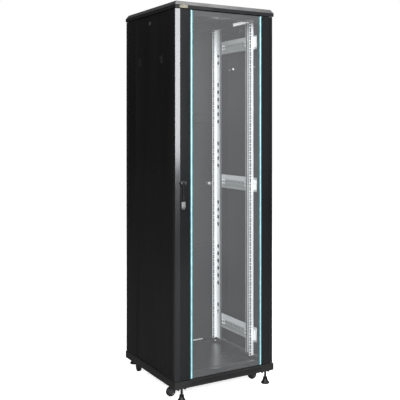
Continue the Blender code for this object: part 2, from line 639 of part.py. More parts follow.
def build_side_panel(side, sx):
    """Lift-off side panel with a recessed middle, two slide latches and a key lock."""
    tilt = pivot(f"side_panel_{side}_axis", (sx * HALF_WIDTH, 0.0, DOOR_LOW))
    face = HALF_WIDTH
    recess = face - PANEL_RECESS
    shoulder = RECESS_HALF + RECESS_BEVEL
    path = [(face - 0.005, BODY_FRONT), (face, BODY_FRONT), (face, -shoulder), (recess, -RECESS_HALF),
            (recess, RECESS_HALF), (face, shoulder), (face, BODY_REAR), (face - 0.005, BODY_REAR)]
    panel = folded(f"side_panel_{side}", mirrored(path, sx), SKIN, "Z", DOOR_LOW, DOOR_HIGH,
                   "black_paint")
    opening = LATCH_HALF + RUNNING
    for end, sy in ENDS:
        y = sy * LATCH_Y
        cut(panel, slab(f"latch_window_{side}_{end}", sx, (recess - THROUGH, recess + THROUGH),
                        (y - opening, y + opening), (LATCH_HEIGHT - WINDOW_LOW, LATCH_HEIGHT + WINDOW_HIGH)))
    cut(panel, rods(f"side_lock_hole_{side}", "X", [(0.0, SIDE_LOCK_HEIGHT)], SIDE_LOCK_RADIUS + RUNNING,
                    *across(sx, recess - THROUGH, recess + THROUGH), 24))
    hang(tilt, panel)

    back = recess - SKIN
    for end, sy in ENDS:
        build_side_latch(f"{side}_{end}", sx, back, sy * LATCH_Y, tilt)

    turn = pivot(f"side_lock_{side}_axis", (sx * recess, 0.0, SIDE_LOCK_HEIGHT), tilt)
    middle = (0.0, SIDE_LOCK_HEIGHT)
    lock = rod(f"side_lock_{side}", "X", middle, SIDE_LOCK_RADIUS,
               *across(sx, back - 0.012, recess + 0.001), "lock_metal")
    weld(lock, rod(f"side_lock_rim_{side}", "X", middle, 0.0105,
                   *across(sx, recess + CLEAR, recess + 0.0022)))
    weld(lock, prism(f"side_lock_cam_{side}", [(-0.007, SIDE_LOCK_HEIGHT - 0.007),
                                              (0.007, SIDE_LOCK_HEIGHT - 0.007),
                                              (0.006, SIDE_LOCK_HEIGHT + 0.0135),
                                              (-0.006, SIDE_LOCK_HEIGHT + 0.0135)],
                     "X", *across(sx, back - 0.0125, back - 0.0100)))
    half, rise = KEY_SLOT
    cut(lock, slab(f"side_key_slot_{side}", sx, (recess - 0.001, recess + THROUGH), (-half, half),
                   (SIDE_LOCK_HEIGHT - rise, SIDE_LOCK_HEIGHT + rise)))
    hang(turn, lock)


def build_side_latch(name, sx, back, y, tilt):
    """Spring latch: a finger tab in the panel's window with a wider tongue behind the sheet."""
    slide = pivot(f"side_latch_{name}_axis", (sx * back, y, LATCH_HEIGHT), tilt)
    latch = slab(f"side_latch_{name}", sx, (back - 0.0015, back + SKIN + 0.0022),
                 (y - LATCH_HALF, y + LATCH_HALF), (LATCH_HEIGHT - 0.008, LATCH_HEIGHT + 0.008),
                 "black_plastic")
    weld(latch, slab(f"latch_tongue_{name}", sx, (back - 0.004, back - CLEAR), (y - 0.009, y + 0.009),
                     (LATCH_HEIGHT - 0.014, LATCH_HEIGHT + 0.026)))
    hang(slide, latch)


# ---------------------------------------------------------------- castors and feet
def build_castor(end, side, sx, sy):
    """Swivel castor: a fork that turns under the plinth and a wheel on its axle.

    The front wheels trail to the left and the rear ones to the back.
    """
    x, y = sx * CASTOR_X, sy * CASTOR_Y[end]
    axis, home, across, trail = ("Y", x, y, -1) if end == "front" else ("X", y, x, 1)
    height = AXLE_HEIGHT[end]
    crown = FLOOR_GAP - 0.0035
    axle = home + trail * CASTOR_TRAIL
    swivel = pivot(f"castor_{end}_{side}_swivel", (x, y, FLOOR_GAP - 0.004))
    fork = rod(f"castor_fork_{end}_{side}", "Z", (x, y), FORK_RADIUS, crown - 0.006, crown, "zinc")
    weld(fork, rod(f"castor_stem_{end}_{side}", "Z", (x, y), CASTOR_STEM, crown - 0.001,
                   FLOOR_GAP + 0.008, sides=16))
    root = trail * (FORK_RADIUS - 0.002)
    outline = [(home - root, crown - 0.001), (home - root, crown - 0.012),
               (axle - trail * 0.008, height - 0.006), (axle + trail * 0.008, height - 0.006),
               (axle + trail * 0.010, height + 0.010), (home + root, crown - 0.006),
               (home + root, crown - 0.001)]
    gap = WHEEL_HALF_WIDTH + 0.0008
    for cheek, sign in (("a", -1), ("b", 1)):
        faces = sorted((across + sign * gap, across + sign * (gap + PLATE)))
        weld(fork, prism(f"castor_cheek_{end}_{side}_{cheek}", outline, axis, *faces))
    reach = WHEEL_HALF_WIDTH + 0.0045
    weld(fork, rod(f"castor_axle_{end}_{side}", axis, (axle, height), AXLE_RADIUS, across - reach,
                   across + reach, sides=16))
    hang(swivel, fork)

    place = (axle, y, height) if end == "front" else (x, axle, height)
    roll = pivot(f"castor_{end}_{side}_axle", place, swivel)
    dish = 0.0025
    wheel = rod(f"castor_wheel_{end}_{side}", axis, (axle, height), WHEEL_RADIUS,
                across - WHEEL_HALF_WIDTH, across + WHEEL_HALF_WIDTH, "castor_rubber", 28)
    for face, sign in (("a", -1), ("b", 1)):
        edge = across + sign * WHEEL_HALF_WIDTH
        cut(wheel, rods(f"wheel_dish_{end}_{side}_{face}", axis, [(axle, height)],
                        WHEEL_RADIUS - 3 * dish, *sorted((edge - sign * dish, edge + sign * THROUGH))))
    cut(wheel, rods(f"wheel_bore_{end}_{side}", axis, [(axle, height)], AXLE_RADIUS + RUNNING,
                    across - 2 * THROUGH, across + 2 * THROUGH))
    hang(roll, wheel)


def build_foot(end, side, sx, sy):
    """Levelling foot: a plastic pad under a threaded stud with its hexagon."""
    x, y = sx * FOOT_X, sy * FOOT_Y
    low = FOOT_LOW[end]
    top = low + PAD_HEIGHT
    lift = pivot(f"foot_{end}_{side}_lift", (x, y, low))
    profile = [(0.0, 0.0), (FOOT_RADIUS - 0.001, 0.0), (FOOT_RADIUS, 0.001), (FOOT_RADIUS, 0.008),
               (0.0185, 0.013), (0.0125, PAD_HEIGHT), (0.0, PAD_HEIGHT)]
    pad = turned(f"foot_pad_{end}_{side}", (x, y), [(r, low + z) for r, z in profile], "black_plastic")
    hang(lift, pad)
    screw = pivot(f"foot_{end}_{side}_screw", (x, y, top), lift)
    hexagon = HEXAGON_WIDTH / 2 / math.cos(math.pi / 6)
    nut_top = top + 0.010
    stud = rod(f"foot_stud_{end}_{side}", "Z", (x, y), hexagon, top + CLEAR, nut_top, "zinc", 6)
    weld(stud, rod(f"stud_shank_{end}_{side}", "Z", (x, y), STUD_RADIUS, nut_top - 0.001,
                   STUD_TOP[end], sides=16))
    hang(screw, stud)


# ---------------------------------------------------------------- the whole cabinet
def main():
    for old in list(bpy.data.objects):
        bpy.data.objects.remove(old, do_unlink=True)
    build_base_frame()
    build_top_frame()
    build_roof_cover()
    build_posts()
    build_beams()
    build_rails()
    door = build_front_door()
    build_handle(door)
    build_rear_door()
    for side, sx in SIDES:
        build_side_panel(side, sx)
    for end, sy in ENDS:
        for side, sx in SIDES:
            build_castor(end, side, sx, sy)
            build_foot(end, side, sx, sy)


main()
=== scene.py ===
"""Studio scene of the network server rack cabinet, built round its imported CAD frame.

Metres, +Z up, in the frame's own axes: the glass door faces -Y and the feet stand at Z = 0.
"""
import math
from bisect import bisect_right

import bmesh
import bpy
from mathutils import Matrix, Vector
from mathutils.geometry import delaunay_2d_cdt


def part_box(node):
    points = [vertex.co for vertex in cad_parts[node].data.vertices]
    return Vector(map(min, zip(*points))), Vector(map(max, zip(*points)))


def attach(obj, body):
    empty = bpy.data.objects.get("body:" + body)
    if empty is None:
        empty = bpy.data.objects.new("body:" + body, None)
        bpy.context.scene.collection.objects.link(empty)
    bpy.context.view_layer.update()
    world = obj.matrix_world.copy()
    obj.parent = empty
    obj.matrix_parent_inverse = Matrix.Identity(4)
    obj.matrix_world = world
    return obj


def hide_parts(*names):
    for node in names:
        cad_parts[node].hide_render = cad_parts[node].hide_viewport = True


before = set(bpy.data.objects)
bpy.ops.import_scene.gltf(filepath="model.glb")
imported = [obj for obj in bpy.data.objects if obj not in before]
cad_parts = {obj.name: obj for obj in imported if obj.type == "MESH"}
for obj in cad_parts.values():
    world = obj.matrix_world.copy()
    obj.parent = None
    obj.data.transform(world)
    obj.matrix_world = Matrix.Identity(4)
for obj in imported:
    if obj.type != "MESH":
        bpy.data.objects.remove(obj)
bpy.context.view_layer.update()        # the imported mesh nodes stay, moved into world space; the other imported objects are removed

SIDES = (("left", -1), ("right", 1))
ENDS = (("front", -1), ("rear", 1))
CORNERS = [(end, sy, side, sx) for end, sy in ENDS for side, sx in SIDES]
LEVELS = ("lower", "middle", "upper")

# ---------------- sizes of the added detail
UNIT = 0.04445               # one rack unit
UNITS = 42
HOLE_OFFSETS = (0.00635, 0.022225, 0.0381)   # square holes above the foot of each unit
SQUARE_HALF = 0.0054
HOLE_COLUMN = 0.23255        # half of the distance between the two columns of square holes
RAIL_MARGIN = 0.00235        # rail beyond the first and the last unit
RAIL_LIP = 0.014
LIP_HOLE = 0.0026
WEB_SLOT = (0.0098, 0.0128)  # half width and half length of a slot in a rail's web
WEB_SLOT_INSET = 0.022       # its middle, behind the flange
SLOT_RUNS = ((3, 4), (7, 12), (15, 18), (23, 26), (29, 34), (37, 38))   # slotted units, from the top
SHEET = 0.0015
PLATE = 0.002
POST_LIP = 0.008
POST_HOLE = 0.003
BEAM_SECTION = ((0.016, -0.039), (0.0, -0.039), (0.0, -0.033), (0.0025, -0.031), (0.0025, -0.017),
                (0.0, -0.014), (0.0, 0.014), (0.012, 0.039), (0.016, 0.039))   # (depth, height)
BEAM_BEND = 0.001
BEAM_HOLE = (0.005, 0.0052)  # half width and half length
BEAM_HOLE_PITCH = 0.029
BEAM_HOLE_MARGIN = 0.028     # first hole from the beam's end
CABLE_SLOT_X = (0.218, 0.26)
CABLE_SLOT_Y = (-0.205, -0.026)
BADGE_X = (-0.2815, -0.2355)
PAN_HALF_WIDTH = 0.25
PAN_SCREW = (0.243, 0.208)
PANEL_RECESS = 0.004         # floor of the side panels' middle, below their rim
PANEL_STUD = (0.086, 1.754)  # Y and Z
REAR_LOCK = (0.244, 1.061)   # X and Z
CASTOR_MOUNT = (0.257, {"front": -0.2, "rear": 0.215})     # X, and Y at each end
SPINDLE_DROP = 0.011         # handle's pivot below the top of its head
GLASS_HAZE = 0.054           # diffuse share of the outside of the pane
FLOOR_GLOW = 0.7             # the floor's own light, to the camera only


# ---------------- finishes
class NodeTree:
    """A node tree under construction, with short calls that add nodes and feed their inputs."""

    def __init__(self, owner):
        owner.use_nodes = True
        self.tree = owner.node_tree

    def add(self, kind, inputs=None, **settings):
        """A new node of that kind, such as TexNoise."""
        node = self.tree.nodes.new("ShaderNode" + kind)
        for key, value in settings.items():
            setattr(node, key, value)
        for key, value in (inputs or {}).items():
            self.feed(node.inputs[key], value)
        return node

    def out(self, kind, inputs=None, output=0, **settings):
        """The output of a new node."""
        return self.add(kind, inputs, **settings).outputs[output]

    def feed(self, socket, value):
        if isinstance(value, bpy.types.NodeSocket):
            self.tree.links.new(value, socket)
        else:
            socket.default_value = value


class Finish(NodeTree):
    """A Principled material, with short calls for the textures that it needs."""

    def __init__(self, name, colour, roughness, metallic=0.0, **inputs):
        self.material = bpy.data.materials.new(name)
        super().__init__(self.material)
        self.shader = self.tree.nodes["Principled BSDF"]
        self.place = self.out("TexCoord", output="Object")
        self.set(**{"Base Color": (*colour, 1.0), "Roughness": roughness, "Metallic": metallic}, **inputs)
        self.normal = None

    def set(self, **inputs):
        for key, value in inputs.items():
            self.feed(self.shader.inputs[key], value)

    def noise(self, scale, detail=2.0, stretch=(1.0, 1.0, 1.0)):
        place = self.out("Mapping", {"Vector": self.place, "Scale": stretch})
        return self.out("TexNoise", {"Vector": place, "Scale": scale, "Detail": detail})

    def cells(self, scale, output="Color"):
        return self.out("TexVoronoi", {"Vector": self.place, "Scale": scale}, output=output)

    def ramp(self, value, start, end, low, high):
        return self.out("MapRange", {"Value": value, "From Min": start, "From Max": end,
                                     "To Min": low, "To Max": high})

    def maths(self, operation, a, b):
        return self.out("Math", {0: a, 1: b}, operation=operation)

    def mix(self, factor, a, b):
        """The colour a where factor is 0 and b where it is 1."""
        node = self.add("Mix", data_type="RGBA")
        self.feed(node.inputs["Factor"], factor)
        for socket, colour in ((node.inputs[6], a), (node.inputs[7], b)):
            self.feed(socket, colour if isinstance(colour, bpy.types.NodeSocket) else (*colour, 1.0))
        return node.outputs[2]

    def bump(self, height, distance, strength=1.0):
        inputs = {"Height": height, "Distance": distance, "Strength": strength}
        if self.normal:
            inputs["Normal"] = self.normal
        self.normal = self.out("Bump", inputs)
        self.set(Normal=self.normal)

    def edges(self, radius):
        """1 along worn outer edges and 0 on open faces."""
        rounded = self.out("Bevel", {"Radius": radius}, samples=4)
        flat = self.out("NewGeometry", output="Normal")
        facing = self.out("VectorMath", {0: rounded, 1: flat}, output="Value", operation="DOT_PRODUCT")
        return self.ramp(facing, 0.98, 0.8, 0.0, 1.0)

    def paint(self, colour):
        self.feed(self.shader.inputs["Base Color"], colour)


def powder_coat(name, colour, worn, roughness, peel=0.55, **inputs):
    """Textured powder coat: orange peel, faint clouding, wiped streaks and rubbed edges."""
    made = Finish(name, colour, roughness, **inputs)
    clouds = made.noise(3.0, 3.0)
    streaks = made.noise(9.0, 2.0, (1.0, 1.0, 0.12))
    grain = made.noise(900.0, 1.0)
    darker = tuple(c * 0.78 for c in colour)
    body = made.mix(made.ramp(clouds, 0.35, 0.65, 0.0, 1.0), darker, colour)
    speckled = made.mix(made.ramp(grain, 0.62, 0.72, 0.0, 0.35), body, worn)
    rubbed = made.maths("MULTIPLY", made.edges(0.0012), made.ramp(made.noise(60.0), 0.4, 0.6, 0.25, 0.9))
    made.paint(made.mix(rubbed, speckled, worn))
    made.set(Roughness=made.ramp(streaks, 0.3, 0.7, roughness - 0.05, roughness + 0.06))
    made.bump(grain, 0.00006, peel)
    made.bump(clouds, 0.0006, 0.12)
    return made.material


def galvanised(name, colour, dull, roughness, metallic, spangle):
    """Zinc-coated sheet: crystal spangle, rolling lines and dull white patches."""
    made = Finish(name, colour, roughness, metallic)
    crystals = made.cells(spangle)
    rolled = made.noise(240.0, 2.0, (1.0, 1.0, 0.05))
    patches = made.ramp(made.noise(14.0, 4.0), 0.45, 0.7, 0.0, 0.5)
    grey = made.mix(made.ramp(crystals, 0.0, 1.0, 0.0, 0.45), colour, dull)
    made.paint(made.mix(patches, grey, dull))
    made.set(Roughness=made.ramp(crystals, 0.0, 1.0, roughness - 0.07, roughness + 0.09))
    made.bump(rolled, 0.00005, 0.4)
    made.bump(made.cells(spangle, "Distance"), 0.0004, 0.05)
    return made.material


def moulded(name, colour, roughness, grain_scale=1400.0, **inputs):
    """Moulded plastic or rubber: fine spark texture, faint flow clouding and scuffed edges."""
    made = Finish(name, colour, roughness, **inputs)
    grain = made.noise(grain_scale, 1.0)
    flow = made.noise(40.0, 3.0)
    lighter = tuple(min(1.0, c * 1.6 + 0.012) for c in colour)
    scuffed = made.mix(made.ramp(flow, 0.4, 0.7, 0.0, 0.5), colour, lighter)
    made.paint(made.mix(made.edges(0.0006), scuffed, lighter))
    made.set(Roughness=made.ramp(flow, 0.3, 0.7, roughness - 0.06, roughness + 0.08))
    made.bump(grain, 0.00005, 0.5)
    return made.material


def plated(name, colour, roughness):
    """Nickel or chrome plating with brushed lines and a few handling marks."""
    made = Finish(name, colour, roughness, 1.0)
    brushed = made.noise(700.0, 2.0, (1.0, 1.0, 0.06))
    marks = made.noise(90.0, 3.0)
    dimmer = tuple(c * 0.72 for c in colour)
    made.paint(made.mix(made.ramp(marks, 0.4, 0.75, 0.0, 0.6), colour, dimmer))
    made.set(Roughness=made.ramp(marks, 0.3, 0.7, roughness - 0.05, roughness + 0.14))
    made.bump(brushed, 0.00003, 0.35)
    return made.material


def toughened_glass(name):
    """Grey-tinted glass: clear to what is behind it, with a faint haze and a mirror sheen outside."""
    made = Finish(name, (0.62, 0.63, 0.64), 0.12)
    haze = made.ramp(made.noise(2.2, 3.0), 0.3, 0.7, GLASS_HAZE * 0.9, GLASS_HAZE * 1.1)
    clear = made.out("BsdfTransparent", {"Color": (0.955, 0.965, 0.965, 1.0)})
    veil = made.out("BsdfDiffuse", {"Color": (0.93, 0.95, 0.955, 1.0)})
    sheen = made.out("BsdfGlossy", {"Roughness": 0.06})
    inside = made.out("NewGeometry", output="Backfacing")
    edge = made.out("Fresnel", {"IOR": 1.25})
    misty = made.out("MixShader", {0: haze, 1: clear, 2: veil})
    glazed = made.out("MixShader", {0: edge, 1: misty, 2: sheen})
    pane = made.out("MixShader", {0: inside, 1: glazed, 2: clear})
    made.tree.links.new(pane, made.tree.nodes["Material Output"].inputs["Surface"])
    return made.material


FINISHES = {                 # the function that makes the material, and what it is given
    "black_paint": (powder_coat, (0.006, 0.006, 0.0066), (0.032, 0.032, 0.034), 0.4),
    "door_paint": (powder_coat, (0.0026, 0.0028, 0.0036), (0.04, 0.04, 0.044), 0.36, 0.08),
    "plinth_paint": (powder_coat, (0.0105, 0.01, 0.0096), (0.05, 0.048, 0.046), 0.46),
    "panel_paint": (powder_coat, (0.0026, 0.0025, 0.0025), (0.02, 0.02, 0.021), 0.44),
    "pan_paint": (powder_coat, (0.011, 0.011, 0.0115), (0.03, 0.03, 0.031), 0.22),
    # darker zinc of the rail lips, also used as painted shade on the front rails' backs and in the rails'
    # holes
    "rail_lip": (galvanised, (0.1, 0.102, 0.105), (0.06, 0.062, 0.064), 0.48, 0.3, 150.0),
    # dimmer copy of the rail zinc on the rear rails' inner faces: painted shade
    "rail_inside": (galvanised, (0.76, 0.77, 0.78), (0.68, 0.7, 0.71), 0.46, 0.15, 160.0),
    # lighter zinc on the beams' upper slope: painted highlight
    "beam_crown": (galvanised, (0.66, 0.67, 0.68), (0.54, 0.56, 0.57), 0.44, 0.25, 120.0),
    "zinc": (galvanised, (0.52, 0.54, 0.54), (0.4, 0.42, 0.42), 0.46, 0.55, 110.0),
    "bright_rail": (galvanised, (0.94, 0.95, 0.96), (0.84, 0.86, 0.87), 0.42, 0.15, 160.0),
    "glass": (toughened_glass,),
    "pale_trim": (moulded, (0.33, 0.51, 0.54), 0.35),
    "trim_edge": (moulded, (0.032, 0.115, 0.135), 0.4),
    "black_plastic": (moulded, (0.0035, 0.0035, 0.004), 0.42),
    "grey_plastic": (moulded, (0.03, 0.03, 0.031), 0.34),
    "white_plastic": (moulded, (0.86, 0.87, 0.87), 0.45),
    # pale bristle plastic that also glows: painted light
    "lit_bristle": (moulded, (0.9, 0.91, 0.91), 0.55, 2500.0),
    "lock_metal": (plated, (0.55, 0.55, 0.545), 0.3),
    "badge_metal": (plated, (0.42, 0.4, 0.3), 0.34),
    "fork_steel": (galvanised, (0.055, 0.056, 0.06), (0.03, 0.03, 0.032), 0.36, 0.4, 90.0),
    "castor_tread": (moulded, (0.008, 0.008, 0.009), 0.5),
    "castor_hub": (moulded, (0.022, 0.022, 0.024), 0.34),
    "door_seal": (moulded, (0.014, 0.014, 0.014), 0.8, 500.0),
}
SHADER_INPUTS = {
    "door_paint": {"Coat Weight": 1.0, "Coat Roughness": 0.15, "Specular IOR Level": 0.3},
    "panel_paint": {"Specular IOR Level": 0.4},
    "black_plastic": {"Specular IOR Level": 0.2},
    "castor_tread": {"Specular IOR Level": 0.3},
    # painted glow: the bristles give off light of their own, standing in for light that reaches them in the
    # roof's shadow
    "lit_bristle": {"Emission Color": (1.0, 1.0, 1.0, 1.0), "Emission Strength": 0.38},
}
made_finishes = {}


def finish(name):
    """The material of that name, made at its first use."""
    if name not in made_finishes:
        make, *values = FINISHES[name]
        made_finishes[name] = make(name, *values, **SHADER_INPUTS.get(name, {}))
    return made_finishes[name]


# ---------------- shape tools
def on_axis(axis, u, v, along):
    """The point at u and v across an axis and at a distance along it."""
    return {"X": (along, u, v), "Y": (u, along, v), "Z": (u, v, along)}[axis]


def add_prism(builder, outline, axis, low, high):
    """Extrude a closed outline from low to high along an axis."""
    bottom = [builder.verts.new(on_axis(axis, u, v, low)) for u, v in outline]
    top = [builder.verts.new(on_axis(axis, u, v, high)) for u, v in outline]
    builder.faces.new(bottom)
    builder.faces.new(top)
    for i in range(len(outline)):
        j = (i + 1) % len(outline)
        builder.faces.new((bottom[i], bottom[j], top[j], top[i]))


def add_box(builder, corner, opposite):
    low = [min(pair) for pair in zip(corner, opposite)]
    high = [max(pair) for pair in zip(corner, opposite)]
    outline = [(low[0], low[1]), (high[0], low[1]), (high[0], high[1]), (low[0], high[1])]
    add_prism(builder, outline, "Z", low[2], high[2])


def add_turned(builder, profile, place, direction, sides=24):
    """Turn (radius, height) points about an axis; radius 0 makes a closed tip."""
    turn = Vector((0, 0, 1)).rotation_difference(Vector(direction))
    place = Vector(place)
    circle = [(math.cos(math.tau * i / sides), math.sin(math.tau * i / sides)) for i in range(sides)]
    rings = []
    for radius, height in profile:
        around = circle if radius > 0.0 else [(0.0, 0.0)]
        rings.append([builder.verts.new(place + turn @ Vector((radius * x, radius * y, height)))
                      for x, y in around])
    for lower, upper in zip(rings, rings[1:]):
        for i in range(sides):
            j = (i + 1) % sides
            corners = [lower[i % len(lower)], lower[j % len(lower)], upper[j % len(upper)],
                       upper[i % len(upper)]]
            builder.faces.new(list(dict.fromkeys(corners)))


def new_object(name, data):
    """An object with that mesh, light or camera, in the scene."""
    made = bpy.data.objects.new(name, data)
    bpy.context.scene.collection.objects.link(made)
    return made


def piece(name, builder, material, body="frame", bevel=0.0, angle=35.0, replaces=()):
    """Turn a bmesh into a piece of the cabinet: its finish, its body and the nodes it stands for."""
    bmesh.ops.recalc_face_normals(builder, faces=builder.faces)
    mesh = bpy.data.meshes.new(name)
    builder.to_mesh(mesh)
    builder.free()
    mesh.materials.append(finish(material))
    made = new_object(name, mesh)
    mesh.shade_smooth()
    mesh.set_sharp_from_angle(angle=math.radians(angle))
    if bevel:
        soften(made, bevel)
    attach(made, body)
    if replaces:
        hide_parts(*replaces)
    return made


def soften(made, width, segments=2):
    """Round the sharp edges of a piece or of a CAD node."""
    step = made.modifiers.new("rounded_edges", "BEVEL")
    step.width = width
    step.segments = segments
    step.limit_method = "ANGLE"
    step.angle_limit = math.radians(35)
    step.use_clamp_overlap = True
    step.harden_normals = made.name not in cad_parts


def middle_of(node):
    """The middle of a node's box."""
    return sum(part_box(node), Vector()) / 2


def arc(centre, radius, start, end, steps=8):
    """Points along a circular arc, angles in degrees."""
    return [(centre[0] + radius * math.cos(math.radians(start + (end - start) * i / steps)),
             centre[1] + radius * math.sin(math.radians(start + (end - start) * i / steps)))
            for i in range(steps + 1)]


def rounded_box(low, high, radius, steps=4):
    """Outline of a rectangle with round corners."""
    corners = (((high[0] - radius, high[1] - radius), 0), ((low[0] + radius, high[1] - radius), 90),
               ((low[0] + radius, low[1] + radius), 180), ((high[0] - radius, low[1] + radius), 270))
    return [p for centre, start in corners for p in arc(centre, radius, start, start + 90, steps)]


def square_hole(u, v, half):
    return [(u - half, v - half), (u + half, v - half), (u + half, v + half), (u - half, v + half)]


def round_hole(u, v, radius, sides=10):
    return arc((u, v), radius, 0, 360, sides)[:-1]


def slot_hole(u, v, half_width, half_length):
    straight = half_length - half_width
    return arc((u, v + straight), half_width, 0, 180, 6) + arc((u, v - straight), half_width, 180, 360, 6)


def to_left(heading):
    return Vector((-heading.y, heading.x))


def bend_rows(corners, radius, steps=3):
    """Rows along a folded sheet: distance from its edge, point, and the direction to its other face."""
    points = [Vector(c) for c in corners]
    runs = [(b - a).normalized() for a, b in zip(points, points[1:])]
    rows = [(0.0, points[0], to_left(runs[0]))]
    travelled = 0.0
    for i, corner in enumerate(points[1:-1]):
        travelled += (corner - points[i]).length
        before, after = runs[i], runs[i + 1]
        turn = math.atan2(before.x * after.y - before.y * after.x, before.dot(after))
        side = 1.0 if turn > 0 else -1.0
        back = radius * math.tan(abs(turn) / 2)
        centre = corner - before * back + to_left(before) * side * radius
        for k in range(steps + 1):
            angle = turn * k / steps
            heading = Vector((before.x * math.cos(angle) - before.y * math.sin(angle),
                              before.x * math.sin(angle) + before.y * math.cos(angle)))
            rows.append((travelled - back + 2 * back * k / steps,
                         centre - to_left(heading) * side * radius, to_left(heading)))
    travelled += (points[-1] - points[-2]).length
    rows.append((travelled, points[-1], to_left(runs[-1])))
    return rows


def cut_flat(lines, low, high, holes):
    """Points and faces of a flat strip with creases at the given lines and holes in it."""
    points = [(u, v) for u in lines for v in (low, high)]
    edges = [(2 * i, 2 * i + 1) for i in range(len(lines))]
    edges += [(2 * i + k, 2 * i + 2 + k) for i in range(len(lines) - 1) for k in (0, 1)]
    rings = []
    for hole in holes:
        rings.append(list(range(len(points), len(points) + len(hole))))
        points += hole
    flat, _, faces, _, _, inside = delaunay_2d_cdt([Vector(p) for p in points], edges, rings, 0, 1e-7)
    return flat, [face for face, holders in zip(faces, inside) if not holders]


def one(add, *shape, **settings):
    """A new bmesh that holds one shape."""
    builder = bmesh.new()
    add(builder, *shape, **settings)
    return builder


def add_punched(builder, corners, gauge, low, high, holes, place, bend=0.0025,
                bands=((0.0, 0, 0),), rim=0):
    """A folded sheet with holes. Holes are outlines in (distance along the fold, height).

    Each band gives the distance where it starts and the material numbers of its two faces, and rim is
    the material number inside the holes.
    """
    rows = bend_rows(corners, bend)
    starts = [row[0] for row in rows]
    lines = sorted(set(starts) | {u for u, _, _ in bands[1:]})
    flat, faces = cut_flat(lines, low, high, holes)
    outer, inner = [], []
    for u, v in flat:
        i = min(max(bisect_right(starts, u) - 1, 0), len(rows) - 2)
        share = (u - starts[i]) / max(starts[i + 1] - starts[i], 1e-9)
        point = rows[i][1].lerp(rows[i + 1][1], share)
        inward = rows[i][2].lerp(rows[i + 1][2], share).normalized() * gauge
        outer.append(builder.verts.new(place(point.x, point.y, v)))
        inner.append(builder.verts.new(place(point.x + inward.x, point.y + inward.y, v)))
    rims = {}
    for face in faces:
        _, front, back = [band for band in bands if min(flat[i].x for i in face) > band[0] - 1e-6][-1]
        builder.faces.new([outer[i] for i in face]).material_index = front
        builder.faces.new([inner[i] for i in reversed(face)]).material_index = back
        for a, b in zip(face, face[1:] + face[:1]):
            if (b, a) in rims:
                del rims[(b, a)]
            else:
                rims[(a, b)] = True
    for a, b in rims:
        middle = (flat[a] + flat[b]) / 2
        in_hole = 1e-6 < middle.x < lines[-1] - 1e-6 and low + 1e-6 < middle.y < high - 1e-6
        wall = builder.faces.new((outer[b], outer[a], inner[a], inner[b]))
        wall.material_index = rim if in_hole else 0
    loose = [v for v in outer + inner if not v.link_faces]
    bmesh.ops.delete(builder, geom=loose, context="VERTS")


def turned(name, profile, place, direction, sides, material, body="frame", **settings):
    """A piece made of one turned shape."""
    return piece(name, one(add_turned, profile, place, direction, sides), material, body, **settings)


def prism(name, outline, axis, low, high, material, body="frame", **settings):
    """A piece made of one prism."""
    return piece(name, one(add_prism, outline, axis, low, high), material, body, **settings)


def rod(radius, length):
    return [(0.0, 0.0), (radius, 0.0), (radius, length), (0.0, length)]


def drum(radius, height, edge):
    """Profile of a cylinder with chamfered ends."""
    return [(0.0, 0.0), (radius - edge, 0.0), (radius, edge), (radius, height - edge),
            (radius - edge, height), (0.0, height)]


SCREW = ((0.0, 0.0), (1.0, 0.0), (1.0, 0.12), (0.86, 0.42), (0.55, 0.62), (0.3, 0.66),
         (0.24, 0.4), (0.0, 0.36))        # (radius, height) of the head, as shares of its radius


def add_screw(builder, place, direction, radius):
    """Pan-head screw with a socket, seen from outside along direction."""
    add_turned(builder, [(r * radius, h * radius) for r, h in SCREW], place, direction, 16)


def screws(name, places, direction, radius, material):
    """A group of equal screws as one piece."""
    builder = bmesh.new()
    for place in places:
        add_screw(builder, place, direction, radius)
    piece(name, builder, material)


# ---------------- frame inside the cabinet
def rail_holes(side, foot, inner, width, depth):
    """Outlines of a rail's square holes, web slots, beam screw holes and lip holes."""
    base = foot + RAIL_MARGIN
    heights = [base + UNIT * unit + offset for unit in range(UNITS) for offset in HOLE_OFFSETS]
    slots = [base + UNIT * (UNITS - unit) - UNIT / 2
             for first, last in SLOT_RUNS for unit in range(first, last + 1)]
    holes = [square_hole(HOLE_COLUMN - inner, z, SQUARE_HALF) for z in heights]
    holes += [slot_hole(width + WEB_SLOT_INSET, z, *WEB_SLOT) for z in slots]
    for beam in LEVELS:
        middle = middle_of(f"beam_{beam}_{side}").z
        holes += [round_hole(width + depth * share, middle + rise, 0.0035)
                  for share in (0.35, 0.65) for rise in (-0.017, 0.013)]
    holes += [round_hole(width + depth + RAIL_LIP * 0.52, z, LIP_HOLE, 8) for z in heights]
    return holes


def channel(node, sy):
    """Where a folded upright starts in X and Y, and its width and depth."""
    low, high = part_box(node)
    inner, outer = sorted((abs(low.x), abs(high.x)))
    return inner, low.y if sy < 0 else high.y, outer - inner, high.y - low.y


def build_rails():
    """Mounting rails: square holes in the flange, slots in the web and small holes in the lip.

    The front rails are painted dark behind, up to near the lip, and in the walls of every hole: painted
    shade, so that their holes read dark from outside. The lips are a darker zinc.
    """
    bright, dark, inside = range(3)
    for end, sy, side, sx in CORNERS:
        node = f"rail_{end}_{side}"
        low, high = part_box(node)
        inner, face, width, depth = channel(node, sy)
        path = [(0.0, 0.0), (width, 0.0), (width, depth), (width - RAIL_LIP, depth)]
        # painted shade: the dark zinc goes on the front rails' backs and on every hole wall (rim), and also
        # colours the lips
        bands = ((0.0, bright, dark if sy < 0 else inside),
                 # painted shade: the rear rails' inner faces take the dimmer copy of the zinc
                 (width + depth * 0.83, bright, bright if sy < 0 else inside),
                 (width + depth - PLATE, dark, dark))
        shape = one(add_punched, path, PLATE, low.z, high.z, rail_holes(side, low.z, inner, width, depth),
                    lambda a, b, z: (sx * (inner + a), face - sy * b, z), bands=bands, rim=dark)
        rail = piece(f"mounting_rail_{end}_{side}", shape, "bright_rail", angle=15.0, replaces=[node])
        rail.data.materials.append(finish("rail_lip"))
        rail.data.materials.append(finish("rail_inside"))


